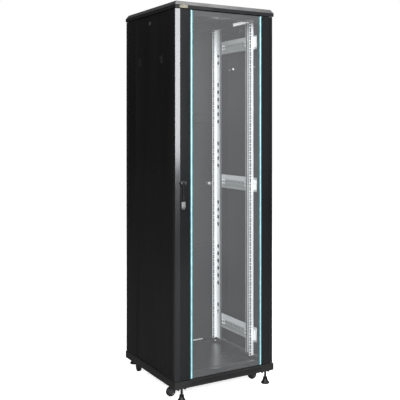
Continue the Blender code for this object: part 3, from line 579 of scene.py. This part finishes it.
def build_posts():
    """Corner posts: folded channel with a column of small fixing holes."""
    for end, sy, side, sx in CORNERS:
        node = f"post_{end}_{side}"
        low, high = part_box(node)
        inner, face, width, depth = channel(node, sy)
        path = [(0.0, POST_LIP), (0.0, 0.0), (width, 0.0), (width, depth), (0.0, depth),
                (0.0, depth - POST_LIP)]
        back = POST_LIP + width + depth
        count = int((high.z - low.z) / (UNIT / 2)) - 1
        heights = [low.z + UNIT / 2 * (i + 1) for i in range(count)]
        holes = [round_hole(back + width * 0.62, z, POST_HOLE, 8) for z in heights]
        shape = one(add_punched, path, SHEET, low.z, high.z, holes,
                    lambda a, b, z: (sx * (inner + a), face - sy * b, z), bend=0.002)
        piece(f"corner_post_{end}_{side}", shape, "black_paint", angle=15.0, replaces=[node])


def build_beams():
    """Depth beams with a row of holes, their end brackets and the screws that hold the rails."""
    for level in LEVELS:
        for side, sx in SIDES:
            node = f"beam_{level}_{side}"
            low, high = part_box(node)
            face = min(abs(low.x), abs(high.x))
            middle = (low.z + high.z) / 2
            path = list(reversed(BEAM_SECTION))
            crease = next(u for u, point, _ in bend_rows(path, BEAM_BEND) if point.x < 0.0002)
            count = int((high.y - low.y - 0.04) / BEAM_HOLE_PITCH)
            holes = [slot_hole(crease + 0.013, low.y + BEAM_HOLE_MARGIN + BEAM_HOLE_PITCH * i, *BEAM_HOLE)
                     for i in range(count)]
            # painted highlight and shade: the upper slope, up to the crease, takes a lighter zinc and the
            # rest a darker zinc, as light from above would fall
            shape = one(add_punched, path, SHEET, low.y, high.y, holes,
                        lambda a, b, y: (sx * (face + a), y, middle + b), BEAM_BEND,
                        bands=((0.0, 0, 0), (crease, 1, 1)))
            beam = piece(f"depth_beam_{level}_{side}", shape, "beam_crown", angle=15.0, replaces=[node])
            beam.data.materials.append(finish("zinc"))
            build_brackets(level, side, sx, face, middle)


def build_brackets(level, side, sx, face, middle):
    """Pale angle brackets on the ends of a beam, with chamfered ears, and the screws beside them."""
    half, near, far, thick = 0.0275, face - 0.0003, 0.2606, 0.0013
    chamfer, ease = 0.014, 0.003
    for end, sy in ENDS:
        rail_low, rail_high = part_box(f"rail_{end}_{side}")
        beam_low, beam_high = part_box(f"beam_{level}_{side}")
        flange, inside = (rail_low.y, rail_high.y) if sy < 0 else (rail_high.y, rail_low.y)
        butt = beam_low.y if sy < 0 else beam_high.y
        builder = bmesh.new()
        add_box(builder, (sx * near, butt, middle - half),
                (sx * (near - thick), flange + sy * 0.0012, middle + half))
        ear = [(sx * (near - thick), middle - half), (sx * (far - ease), middle - half + 0.002),
               (sx * far, middle - half + chamfer), (sx * far, middle + half - chamfer),
               (sx * (far - ease), middle + half - 0.002), (sx * (near - thick), middle + half)]
        add_prism(builder, ear, "Y", *sorted((butt + sy * 0.0002, butt + sy * 0.0014)))
        piece(f"rail_bracket_{level}_{side}_{end}", builder, "bright_rail", bevel=0.0004)
        places = [(sx * (face - 0.0002), inside - sy * along, middle + rise)
                  for along in (0.008, 0.026) for rise in (-0.01, 0.008)]
        screws(f"beam_screws_{level}_{side}_{end}", places, (-sx, 0, 0), 0.0048, "bright_rail")


def build_roof_detail():
    """Brush strips in the roof's cable slots, stiffeners under the lid and a blank badge."""
    low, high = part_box("roof_cover")
    for side, sx in SIDES:
        near, far = CABLE_SLOT_X
        start, end = CABLE_SLOT_Y
        holder = 0.007
        foot, head = high.z - 0.0045, high.z - 0.0015
        builder = bmesh.new()
        add_box(builder, (sx * (near - holder), start, foot), (sx * near, end, head))
        add_box(builder, (sx * far, start, foot), (sx * (far + holder), end, head))
        piece(f"roof_brush_holder_{side}", builder, "black_plastic", bevel=0.0004)
        build_bristles(side, sx, high.z - 0.003)
    for place, y in (("front", -0.127), ("rear", 0.127)):
        root, crest = high.z - 0.0014, high.z - 0.012
        outline = [(y - 0.022, root), (y - 0.012, crest), (y + 0.012, crest), (y + 0.022, root)]
        prism(f"roof_stiffener_{place}", outline, "X", -0.205, 0.205, "black_paint", bevel=0.0006)
    left, right = BADGE_X
    badge = rounded_box((left, low.z + 0.0012), (right, low.z + 0.0165), 0.002)
    prism("blank_badge", badge, "Y", low.y - 0.0009, low.y + 0.0002, "badge_metal", bevel=0.0003)
    panel = rounded_box((left + 0.002, low.z + 0.003), (right - 0.002, low.z + 0.0147), 0.0015)
    prism("badge_panel", panel, "Y", low.y - 0.0013, low.y - 0.0008, "badge_metal", bevel=0.0002)


def build_bristles(side, sx, height):
    """Two facing rows of bristle tufts that nearly meet in the middle of a cable slot."""
    near, far = CABLE_SLOT_X
    start, end = CABLE_SLOT_Y[0] + 0.008, CABLE_SLOT_Y[1] - 0.008
    middle, gap, pitch, radius = (near + far) / 2, 0.0012, 0.0034, 0.0011
    builder = bmesh.new()
    for i in range(int((end - start) / pitch)):
        y = start + pitch * (i + 0.5)
        sway = 0.0007 * math.sin(i * 2.4)
        for root, tip in ((near, middle - gap + sway), (far, middle + gap + sway)):
            length = abs(tip - root)
            add_turned(builder, [(0.0, 0.0), (radius, 0.0), (radius, length * 0.7), (radius * 0.6, length),
                                 (0.0, length)],
                       (sx * root, y, height), (sx * (1 if tip > root else -1), 0, 0), 6)
    piece(f"roof_bristles_{side}", builder, "black_plastic")


def build_side_brushes():
    """Pale brush bars under the roof, above the side beams, where cables pass the frame."""
    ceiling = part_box("top_frame")[1].z
    reach, start, end, pitch = 0.2546, -0.196, 0.02, 0.004
    for side, sx in SIDES:
        x = sx * reach
        shape = one(add_box, (x, start, ceiling - 0.0065), (x - sx * 0.0035, end, ceiling - 0.0008))
        # the bars and their bristles glow faintly: painted light
        piece(f"brush_bar_{side}", shape, "lit_bristle", bevel=0.0004)
        builder = bmesh.new()
        for i in range(int((end - start) / pitch)):
            y = start + pitch * (i + 0.5)
            length = 0.0125 + 0.0006 * math.sin(i * 1.9)
            add_turned(builder, [(0.0, 0.0), (0.0014, 0.0), (0.0014, length * 0.8), (0.0008, length),
                                 (0.0, length)], (x - sx * 0.0018, y, ceiling - 0.006), (0, 0, -1), 6)
        piece(f"brush_bristles_{side}", builder, "lit_bristle")


def build_base_detail():
    """Floor pan details: toothed edging in the cable slot, folds, screws and the plinth's front panel."""
    low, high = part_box("base_frame")
    slot_half, slot_edge, pitch = 0.205, 0.285, 0.009
    builder = bmesh.new()
    for i in range(int(2 * slot_half / pitch)):
        x = pitch * (i + 0.5) - slot_half
        add_box(builder, (x - 0.0032, slot_edge - 0.003, high.z - 0.003),
                (x + 0.0032, slot_edge - 0.0002, high.z + 0.0042))
    piece("slot_edging", builder, "white_plastic", bevel=0.0003)
    liner = one(add_box, (-PAN_HALF_WIDTH, -0.195, high.z + 0.0001), (PAN_HALF_WIDTH, 0.224, high.z + 0.0006))
    piece("pan_liner", liner, "pan_paint")
    for end, y, rise in (("front", -0.2005, 0.0022), ("rear", 0.2245, 0.002)):
        fold = [(y, high.z), (y + 0.0015, high.z + rise), (y + 0.0045, high.z + rise), (y + 0.006, high.z)]
        prism(f"pan_fold_{end}", fold, "X", -PAN_HALF_WIDTH, PAN_HALF_WIDTH, "plinth_paint", bevel=0.0004)
    places = [(sx * PAN_SCREW[0], sy * PAN_SCREW[1], high.z) for _, sx in SIDES for _, sy in ENDS]
    screws("pan_screws", places, (0, 0, 1), 0.0045, "lock_metal")
    build_plinth_panel(low, high)
    build_castor_bolts(low)


def build_plinth_panel(low, high):
    """Perforated panel in the shallow recess of the plinth's front."""
    half, foot, head = 0.2243, low.z + 0.0087, high.z - 0.0077
    pitch, row_pitch, rows = 0.008, 0.0046, 3
    columns = int(2 * half / pitch) - 2
    holes = [round_hole(half + (i - (columns - 1) / 2) * pitch, foot + 0.0055 + row_pitch * row, 0.0014, 6)
             for i in range(columns) for row in range(rows)]
    shape = one(add_punched, [(0.0, 0.0), (2 * half, 0.0)], 0.0006, foot, head, holes,
                lambda a, b, z: (a - half, low.y + 0.0002 + b, z))
    piece("plinth_front_panel", shape, "black_paint")


def build_castor_bolts(low):
    """Hexagon bolts of the castor plates and of the foot plates under the plinth."""
    plate_low, plate_high, plate_half = low.z + 0.0006, low.z + 0.0028, 0.0115
    builder = bmesh.new()
    for end, _, side, sx in CORNERS:
        x, y = sx * CASTOR_MOUNT[0], CASTOR_MOUNT[1][end]
        for dx in (-0.028, 0.028):
            for dy in (-0.024, 0.024):
                add_bolt(builder, (x + dx, y + dy, low.z), 0.0064, 0.0042)
        foot = middle_of(f"foot_stud_{end}_{side}")
        for near, far in ((-0.027, -0.0075), (0.0075, 0.027)):
            add_box(builder, (foot.x + near, foot.y - plate_half, plate_low),
                    (foot.x + far, foot.y + plate_half, plate_high))
        for dx in (-0.02, 0.02):
            add_bolt(builder, (foot.x + dx, foot.y, plate_low), 0.0062, 0.0078)
    piece("plinth_bolts", builder, "black_plastic", bevel=0.0004)


def add_bolt(builder, place, radius, height):
    """Hexagon bolt head hanging down from place."""
    add_turned(builder, drum(radius, height, 0.0006), place, (0, 0, -1), 6)


# ---------------- front door
def build_trims():
    """Pale trims along the glass: a bright crown on a darker teal foot."""
    inset, rise = 0.0054, 0.001
    for side, _ in SIDES:
        node = f"glass_trim_{side}"
        low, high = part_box(node)
        foot = rounded_box((low.x, low.y + 0.0009), (high.x, high.y), 0.0004, 2)
        prism(f"trim_foot_{side}", foot, "Z", low.z, high.z, "trim_edge", "front_door", replaces=[node])
        half = (high.x - low.x) / 2 - inset
        profile = arc(((low.x + high.x) / 2, 0.0), half, 180, 360, 10)
        crown = [(x, low.y + rise + y * rise / half) for x, y in profile]
        prism(f"trim_crown_{side}", crown, "Z", low.z + 0.001, high.z - 0.001, "pale_trim", "front_door",
              replaces=[node])


def build_door_detail():
    """Foam seal round the back of the front door and bushes on its hinge pins."""
    left_low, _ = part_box("front_door_left_strip")
    _, right_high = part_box("front_door_right_strip")
    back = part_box("front_door_bottom_rail")[1].y
    seal_x, margin = abs(left_low.x) - 0.0175, 0.016
    builder = bmesh.new()
    for _, sx in SIDES:
        add_prism(builder, arc((sx * seal_x, back), 0.0024, 0, 180, 6), "Z",
                  left_low.z + margin, right_high.z - margin)
    piece("door_seal", builder, "door_seal", "front_door")
    bore, radius, height, edge = 0.0045, 0.008, 0.0024, 0.0005
    bush = [(bore, 0.0), (radius - edge, 0.0), (radius, edge), (radius, height - edge),
            (radius - edge, height), (bore, height), (bore, 0.0)]
    builder = bmesh.new()
    for node, z in (("front_hinge_pin_lower", left_low.z - 0.0027),
                    ("front_hinge_pin_upper", right_high.z + 0.0003)):
        pin = middle_of(node)
        add_turned(builder, bush, (pin.x, pin.y, z), (0, 0, 1))
    piece("front_hinge_bushes", builder, "lock_metal", "front_door")


def build_handle():
    """Swing handle: rounded housing, T-shaped hub, slim lever, shield-shaped lock cap and its key."""
    low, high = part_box("handle_housing")
    x = (low.x + high.x) / 2
    prism("lock_housing", rounded_box((low.x, low.z), (high.x, high.z), 0.006), "Y", low.y, high.y,
          "black_plastic", "front_door", bevel=0.0012, replaces=["handle_housing"])
    build_lock_shield(x)
    build_key()
    build_hub(x)
    build_lever(x)


def build_lock_shield(x):
    """Shield with a raised middle."""
    low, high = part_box("handle_lock_cap")
    half, corner, step = (high.x - low.x) / 2 - 0.0012, 0.002, 0.0012
    shield = [(x + half, high.z - corner), (x + half - corner, high.z), (x - half + corner, high.z),
              (x - half, high.z - corner)]
    shield += arc((x, low.z + half + 0.002), half, 180, 360, 12)
    middle = (low.z + high.z) / 2
    raised = [(x + (u - x) * 0.8, middle + (v - middle) * 0.86) for u, v in shield]
    builder = bmesh.new()
    add_prism(builder, shield, "Y", low.y + step, high.y)
    add_prism(builder, raised, "Y", low.y, low.y + step + 0.0002)
    piece("lock_shield", builder, "lock_metal", "front_door", bevel=0.0007, replaces=["handle_lock_cap"])


def build_key():
    """Key cylinder with a raised rim and a keyway."""
    low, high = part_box("key_cylinder")
    x, z, depth = (low.x + high.x) / 2, (low.z + high.z) / 2, high.y - low.y
    dish, rim, radius = 0.0044, 0.0048, 0.0062
    builder = bmesh.new()
    add_turned(builder, [(0.0, 0.0012), (dish, 0.0012), (rim, 0.0), (radius - 0.0002, 0.0), (radius, 0.0004),
                         (radius, depth), (0.0, depth)], (x, low.y, z), (0, 1, 0), 32)
    half_width, half_length = 0.0005, 0.0033
    add_box(builder, (x - half_width, low.y + 0.0006, z - half_length),
            (x + half_width, low.y + 0.0014, z + half_length))
    piece("key_barrel", builder, "lock_metal", "key_cylinder", replaces=["key_cylinder"])


def build_hub(x):
    """T-shaped head of the handle, split for the lever, and its spindle through the door."""
    low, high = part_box("handle_hub")
    slot, half = 0.0082, (high.x - low.x) / 2
    front, back = low.y, low.y + 0.0138
    crown = 0.052
    head = arc((x, high.z - crown), crown, 108, 72, 10)
    brow = [(x - half, high.z - 0.006), *head, (x + half, high.z - 0.006),
            (x + slot, high.z - 0.0042), (x - slot, high.z - 0.0042)]
    builder = bmesh.new()
    add_prism(builder, brow, "Y", front, back)
    for sign in (-1, 1):
        cheek = [(x + sign * slot, high.z - 0.0045), (x + sign * half, high.z - 0.0062),
                 (x + sign * half, high.z - 0.01), (x + sign * (slot + 0.0022), low.z + 0.001),
                 (x + sign * slot, low.z)]
        add_prism(builder, cheek, "Y", front + 0.0004, back)
    piece("handle_head", builder, "grey_plastic", "handle_hub", bevel=0.0008, replaces=["handle_hub"])
    length, radius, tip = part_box("handle_cam")[1].y + 0.0006 - back, 0.0056, 0.0006
    spindle = [(0.0, 0.0), (radius, 0.0), (radius, length), (radius - tip, length + tip), (0.0, length + tip)]
    turned("handle_spindle", spindle, (x, back, high.z - SPINDLE_DROP), (0, 1, 0), 24, "lock_metal",
           "handle_hub", replaces=["handle_hub"])


def build_lever(x):
    """Slim fold-out lever, round at its pivot, and the pin that it swings on."""
    low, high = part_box("handle_lever")
    hub_low, hub_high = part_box("handle_hub")
    pivot_y, pivot_z = (low.y + high.y) / 2, hub_high.z - SPINDLE_DROP
    half = 0.0048
    side_view = arc((pivot_y, pivot_z), (high.y - low.y) / 2, 0, 180, 10)
    side_view += [(low.y + 0.0022, pivot_z - 0.03), (low.y + 0.0012, low.z + 0.018),
                  (low.y, low.z + 0.006), (low.y + 0.002, low.z), (high.y, low.z)]
    prism("handle_grip", side_view, "X", x - half, x + half, "black_plastic", "handle_lever",
          bevel=0.0014, replaces=["handle_lever"])
    inset, radius = 0.0015, 0.0019
    length = hub_high.x - hub_low.x - 2 * inset
    turned("handle_grip_pin", rod(radius, length), (x - length / 2, pivot_y, pivot_z), (1, 0, 0), 16,
           "lock_metal", "handle_lever")


# ---------------- side panels and rear door
def build_panel_detail():
    """Raised frames round the slide latches, studs inside and escutcheons round the key locks."""
    for side, sx in SIDES:
        body = f"side_panel_{side}"
        panel_low, panel_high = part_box(body)
        recess = sx * (max(abs(panel_low.x), abs(panel_high.x)) - PANEL_RECESS)
        for end, _ in ENDS:
            build_latch_frame(f"{side}_{end}", body, sx, recess)
        stud = [(0.0, 0.0), (0.006, 0.0), (0.0064, 0.0012), (0.006, 0.007), (0.004, 0.0082),
                (0.0, 0.0084)]
        turned(f"panel_stud_{side}", stud, (recess - sx * 0.0013, *PANEL_STUD), (-sx, 0, 0), 20,
               "white_plastic", body)
        lock = middle_of(f"side_lock_{side}")
        ring = [(0.0108, 0.0), (0.0135, 0.0), (0.0132, 0.0012), (0.0112, 0.0016), (0.0108, 0.0)]
        turned(f"lock_escutcheon_{side}", ring, (recess, lock.y, lock.z), (sx, 0, 0), 32, "black_plastic",
               body)


def build_latch_frame(tag, body, sx, recess):
    """Four bars round a slide latch, clear of its whole travel."""
    latch = middle_of(f"side_latch_{tag}")
    y, z = latch.y, latch.z - 0.006
    half_y, half_z, bar, proud = 0.0125, 0.0225, 0.0047, 0.0018
    bars = ((-half_y, half_y, half_z - bar, half_z), (-half_y, half_y, -half_z, bar - half_z),
            (-half_y, bar - half_y, bar - half_z, half_z - bar),
            (half_y - bar, half_y, bar - half_z, half_z - bar))
    builder = bmesh.new()
    for near, far, foot, head in bars:
        add_box(builder, (recess, y + near, z + foot), (recess + sx * proud, y + far, z + head))
    bmesh.ops.remove_doubles(builder, verts=builder.verts, dist=1e-6)
    piece(f"latch_frame_{tag}", builder, "black_plastic", body, bevel=0.0004)


def build_rear_detail():
    """Seal on the rear door, and the escutcheon and nut of its lock."""
    low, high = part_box("rear_door")
    margin = 0.016
    builder = bmesh.new()
    for _, sx in SIDES:
        x = sx * (high.x - 0.01)
        add_box(builder, (x - 0.003, high.y - 0.0075, low.z + margin),
                (x + 0.003, high.y - 0.0012, high.z - margin))
    piece("rear_door_seal", builder, "door_seal", "rear_door", bevel=0.001)
    x, z = REAR_LOCK
    ring = [(0.0125, 0.0), (0.0165, 0.0), (0.016, 0.0012), (0.0128, 0.0016), (0.0125, 0.0)]
    turned("rear_lock_escutcheon", ring, (x, high.y, z), (0, 1, 0), 32, "black_plastic", "rear_door")
    nut = [(0.0, 0.0), (0.0085, 0.0), (0.011, 0.002), (0.0116, 0.005), (0.0105, 0.0085), (0.007, 0.011),
           (0.0, 0.0116)]
    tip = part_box("rear_lock")[0].y + 0.0002
    turned("rear_lock_nut", nut, (x, tip, z), (0, -1, 0), 24, "zinc", "rear_lock")


# ---------------- castors and feet
def build_castors():
    """Castors: a tread with rounded shoulders and a dished hub on a pressed fork."""
    bore, ease, tread_depth = 0.0046, 0.003, 0.0075
    for end, _, side, sx in CORNERS:
        tag = f"{end}_{side}"
        body = f"castor_wheel_{tag}"
        low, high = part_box(body)
        middle, size = (low + high) / 2, high - low
        axis = "X" if size.x < size.y else "Y"
        radius, half = size.z / 2, min(size.x, size.y) / 2
        direction = Vector(on_axis(axis, 0.0, 0.0, 1.0))
        inner = radius - tread_depth
        shoulder = arc((radius - ease, half - ease), ease, 90, 0, 5)
        tread = [(inner, -half), *[(r, -h) for r, h in shoulder], *reversed(shoulder), (inner, half),
                 (inner, -half)]
        turned(f"tread_{tag}", tread, middle, direction, 48, "castor_tread", body, replaces=[body])
        dish = [(bore, half), (0.008, half), (0.0088, half - 0.0022), (inner - 0.0025, half - 0.003),
                (inner - 0.0001, half - 0.0008)]
        hub = [*[(r, -h) for r, h in dish], *reversed(dish), (bore, -half)]
        turned(f"wheel_hub_{tag}", hub, middle, direction, 48, "castor_hub", body, replaces=[body])
        build_fork(tag, (sx * CASTOR_MOUNT[0], CASTOR_MOUNT[1][end]), middle, axis)


def build_fork(tag, mount, wheel, axis):
    """Pressed fork: ball race and stem under the plinth, two cheeks and the axle with its nuts."""
    body = f"castor_fork_{tag}"
    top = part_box(body)[1].z
    crown = top - 0.0115
    home, along, across = (mount[0], wheel.x, mount[1]) if axis == "Y" else (mount[1], wheel.y, mount[0])
    lean = 1.0 if along > home else -1.0
    cheek = [(home - lean * 0.014, crown - 0.0008), (home - lean * 0.0135, crown - 0.012),
             *arc((along, wheel.z), 0.0095, *((320, 200) if lean < 0 else (-140, -20)), 10),
             (home + lean * 0.0155, crown - 0.01), (home + lean * 0.0145, crown - 0.0008)]
    direction = Vector(on_axis(axis, 0.0, 0.0, 1.0))
    builder = bmesh.new()
    add_turned(builder, [(0.0, 0.0055), (0.015, 0.0055), (0.0165, 0.0035), (0.0165, 0.002),
                         (0.015, 0.0), (0.0, 0.0)], (*mount, crown - 0.006), (0, 0, 1), 32)
    add_turned(builder, rod(0.0048, top - crown), (*mount, crown - 0.001), (0, 0, 1), 20)
    for sign in (-1, 1):
        inner = across + sign * 0.0094
        outer = inner + sign * 0.0019
        add_prism(builder, cheek, axis, min(inner, outer), max(inner, outer))
        add_turned(builder, [(0.0, 0.0), (0.006, 0.0), (0.0064, 0.0005), (0.006, 0.002), (0.004, 0.0025),
                             (0.0, 0.0025)], on_axis(axis, along, wheel.z, outer), direction * sign, 6)
    add_turned(builder, rod(0.0036, 0.0186), on_axis(axis, along, wheel.z, across - 0.0093), direction, 16)
    piece(f"castor_frame_{tag}", builder, "fork_steel", body, bevel=0.0004, replaces=[body])


def build_feet():
    """Levelling feet: domed pad, chamfered hexagon and a threaded stud."""
    for end, _, side, _ in CORNERS:
        tag = f"{end}_{side}"
        body = f"foot_pad_{tag}"
        low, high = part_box(body)
        x, y = (low.x + high.x) / 2, (low.y + high.y) / 2
        radius, height = (high.x - low.x) / 2, high.z - low.z
        pad = [(0.0, 0.0), (radius - 0.0022, 0.0), (radius - 0.0005, 0.0008), (radius, 0.0024),
               (radius, 0.0058), (radius - 0.0007, 0.0078), (radius - 0.003, 0.0102), (0.0172, 0.0138),
               (0.015, 0.0175), (0.0136, 0.0212), (0.0126, height - 0.0008), (0.0118, height),
               (0.0, height)]
        turned(f"foot_disc_{tag}", pad, (x, y, low.z), (0, 0, 1), 48, "black_plastic", body, replaces=[body])
        build_stud(tag, x, y)


def build_stud(tag, x, y):
    """Hexagon under a stud; the thread is made of stacked ridges."""
    body = f"foot_stud_{tag}"
    low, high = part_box(body)
    radius, thick, chamfer = 0.012 / math.cos(math.pi / 6), 0.0097, 0.0012
    hexagon = [(0.0, 0.0), (radius - chamfer, 0.0), (radius, 0.0011), (radius, thick - 0.0011),
               (radius - chamfer, thick), (0.0, thick)]
    turned(f"foot_hexagon_{tag}", hexagon, (x, y, low.z), (0, 0, 1), 6, "black_plastic", body,
           bevel=0.0003, replaces=[body])
    nut_top = low.z + thick
    pitch, crest, root = 0.00175, 0.0064, 0.0055
    thread = [(0.0, nut_top - 0.001), (root, nut_top - 0.001)]
    for i in range(int((high.z - nut_top - 0.002) / pitch)):
        z = nut_top + pitch * i
        thread += [(root, z + pitch * 0.1), (crest, z + pitch * 0.45), (crest, z + pitch * 0.65)]
    thread += [(root, high.z - 0.001), (root - 0.001, high.z), (0.0, high.z)]
    turned(f"foot_thread_{tag}", thread, (x, y, 0.0), (0, 0, 1), 20, "black_plastic", body, angle=50,
           replaces=[body])


# ---------------- finishes of the CAD nodes that stay
NODE_FINISHES = {            # finish, and the width of the rounded edges
    "base_frame": ("plinth_paint", 0.0008), "roof_cover": ("black_paint", 0.001),
    "top_frame": ("black_paint", 0.0), "rear_door": ("black_paint", 0.0005),
    "front_door_left_strip": ("door_paint", 0.0005), "front_door_right_strip": ("door_paint", 0.0005),
    "front_door_bottom_rail": ("door_paint", 0.0), "front_door_top_rail": ("door_paint", 0.0),
    "front_door_glass": ("glass", 0.0006), "handle_cam": ("zinc", 0.0004),
    "side_panel_left": ("panel_paint", 0.0005), "side_panel_right": ("panel_paint", 0.0005),
}


def dress_nodes():
    """Give each CAD node that stays its finish, and round its edges."""
    for name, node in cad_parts.items():
        small_part = "black_plastic" if name.startswith("side_latch") else "lock_metal"
        material, bevel = NODE_FINISHES.get(name, (small_part, 0.0))
        node.data.materials.clear()
        node.data.materials.append(finish(material))
        if bevel:
            soften(node, bevel)


# ---------------- studio
def build_floor():
    """Plain pale floor, bright to the eye so that it meets the backdrop without a horizon."""
    half = 14.0
    mesh = bpy.data.meshes.new("floor")
    mesh.from_pydata([(-half, -half, 0.0), (half, -half, 0.0), (half, half, 0.0), (-half, half, 0.0)], [],
                     [(0, 1, 2, 3)])
    floor = new_object("floor", mesh)
    made = Finish("floor_paper", (0.8, 0.8, 0.8), 0.85)
    seen = made.out("LightPath", output="Is Camera Ray")
    made.set(**{"Base Color": made.mix(seen, (0.1, 0.1, 0.1), (0.8, 0.8, 0.8)),
                "Emission Color": (1.0, 1.0, 1.0, 1.0),
                "Emission Strength": made.maths("MULTIPLY", seen, FLOOR_GLOW)})
    made.bump(made.noise(300.0, 3.0), 0.0001, 0.2)
    mesh.materials.append(made.material)


def build_world():
    """White backdrop to the eye; for light and reflections a dim room, brighter in front and above."""
    world = bpy.data.worlds.new("studio")
    bpy.context.scene.world = world
    sky = NodeTree(world)
    sky.tree.nodes.clear()
    heading = sky.add("SeparateXYZ", {0: sky.out("TexCoord", output="Generated")}).outputs
    front = sky.out("MapRange", {"Value": heading["Y"], "From Min": 0.35, "From Max": -0.75,
                                 "To Min": 0.02, "To Max": 0.2})
    above = sky.out("MapRange", {"Value": heading["Z"], "From Min": 0.15, "From Max": 0.9,
                                 "To Min": 0.0, "To Max": 0.6})
    room = sky.out("Math", {0: front, 1: above}, operation="ADD")
    dim = sky.out("Background", {"Color": (0.97, 0.98, 1.0, 1.0), "Strength": room})
    white = sky.out("Background", {"Color": (1.0, 1.0, 1.0, 1.0), "Strength": 1.0})
    seen = sky.out("LightPath", output="Is Camera Ray")
    both = sky.out("MixShader", {0: seen, 1: dim, 2: white})
    sky.add("OutputWorld", {"Surface": both})


LIGHTS = (
    # name, place, target, width, height, radiance, colour
    ("softbox", (-0.05, -4.0, 2.25), (-0.1, -0.3, 1.6), 0.8, 2.5, 15.5, (0.94, 0.95, 1.0)),
    ("key", (-2.7, -4.4, 2.3), (0.1, -0.2, 1.0), 1.8, 2.2, 38.0, (1.0, 1.0, 1.0)),
    ("top_light", (0.75, -0.8, 4.3), (0.0, -0.3, 2.0), 2.2, 1.6, 7.0, (1.0, 1.0, 1.0)),
    ("rear_fill", (3.3, 2.6, 2.3), (0.0, 0.0, 1.0), 1.5, 2.2, 6.0, (1.0, 1.0, 1.0)),
)


def build_lights():
    """Area lights, each turned to its target."""
    for name, place, target, width, height, radiance, colour in LIGHTS:
        data = bpy.data.lights.new(name, "AREA")
        data.shape = "RECTANGLE"
        data.size, data.size_y = width, height
        data.energy = radiance * math.pi * width * height
        data.color = colour
        lamp = new_object(name, data)
        lamp.location = place
        lamp.rotation_euler = (Vector(target) - Vector(place)).to_track_quat("-Z", "Y").to_euler()


def build_camera():
    """Level camera at about eye height, turned 30 degrees and shifted down to frame the cabinet."""
    data = bpy.data.cameras.new("camera")
    data.sensor_fit = "VERTICAL"
    data.sensor_width, data.sensor_height = 24.0, 36.0
    data.lens = 63.87
    data.shift_y = -0.1837
    camera = new_object("camera", data)
    camera.location = (-2.0172, -3.4794, 1.4113)
    camera.rotation_euler = (math.radians(90.0), 0.0, math.radians(-30.29))
    bpy.context.scene.camera = camera
    bpy.context.scene.view_settings.view_transform = "Standard"


build_camera()
build_floor()
build_world()
build_lights()
dress_nodes()
build_rails()
build_posts()
build_beams()
build_roof_detail()
build_side_brushes()
build_base_detail()
build_trims()
build_door_detail()
build_handle()
build_panel_detail()
build_rear_detail()
build_castors()
build_feet()
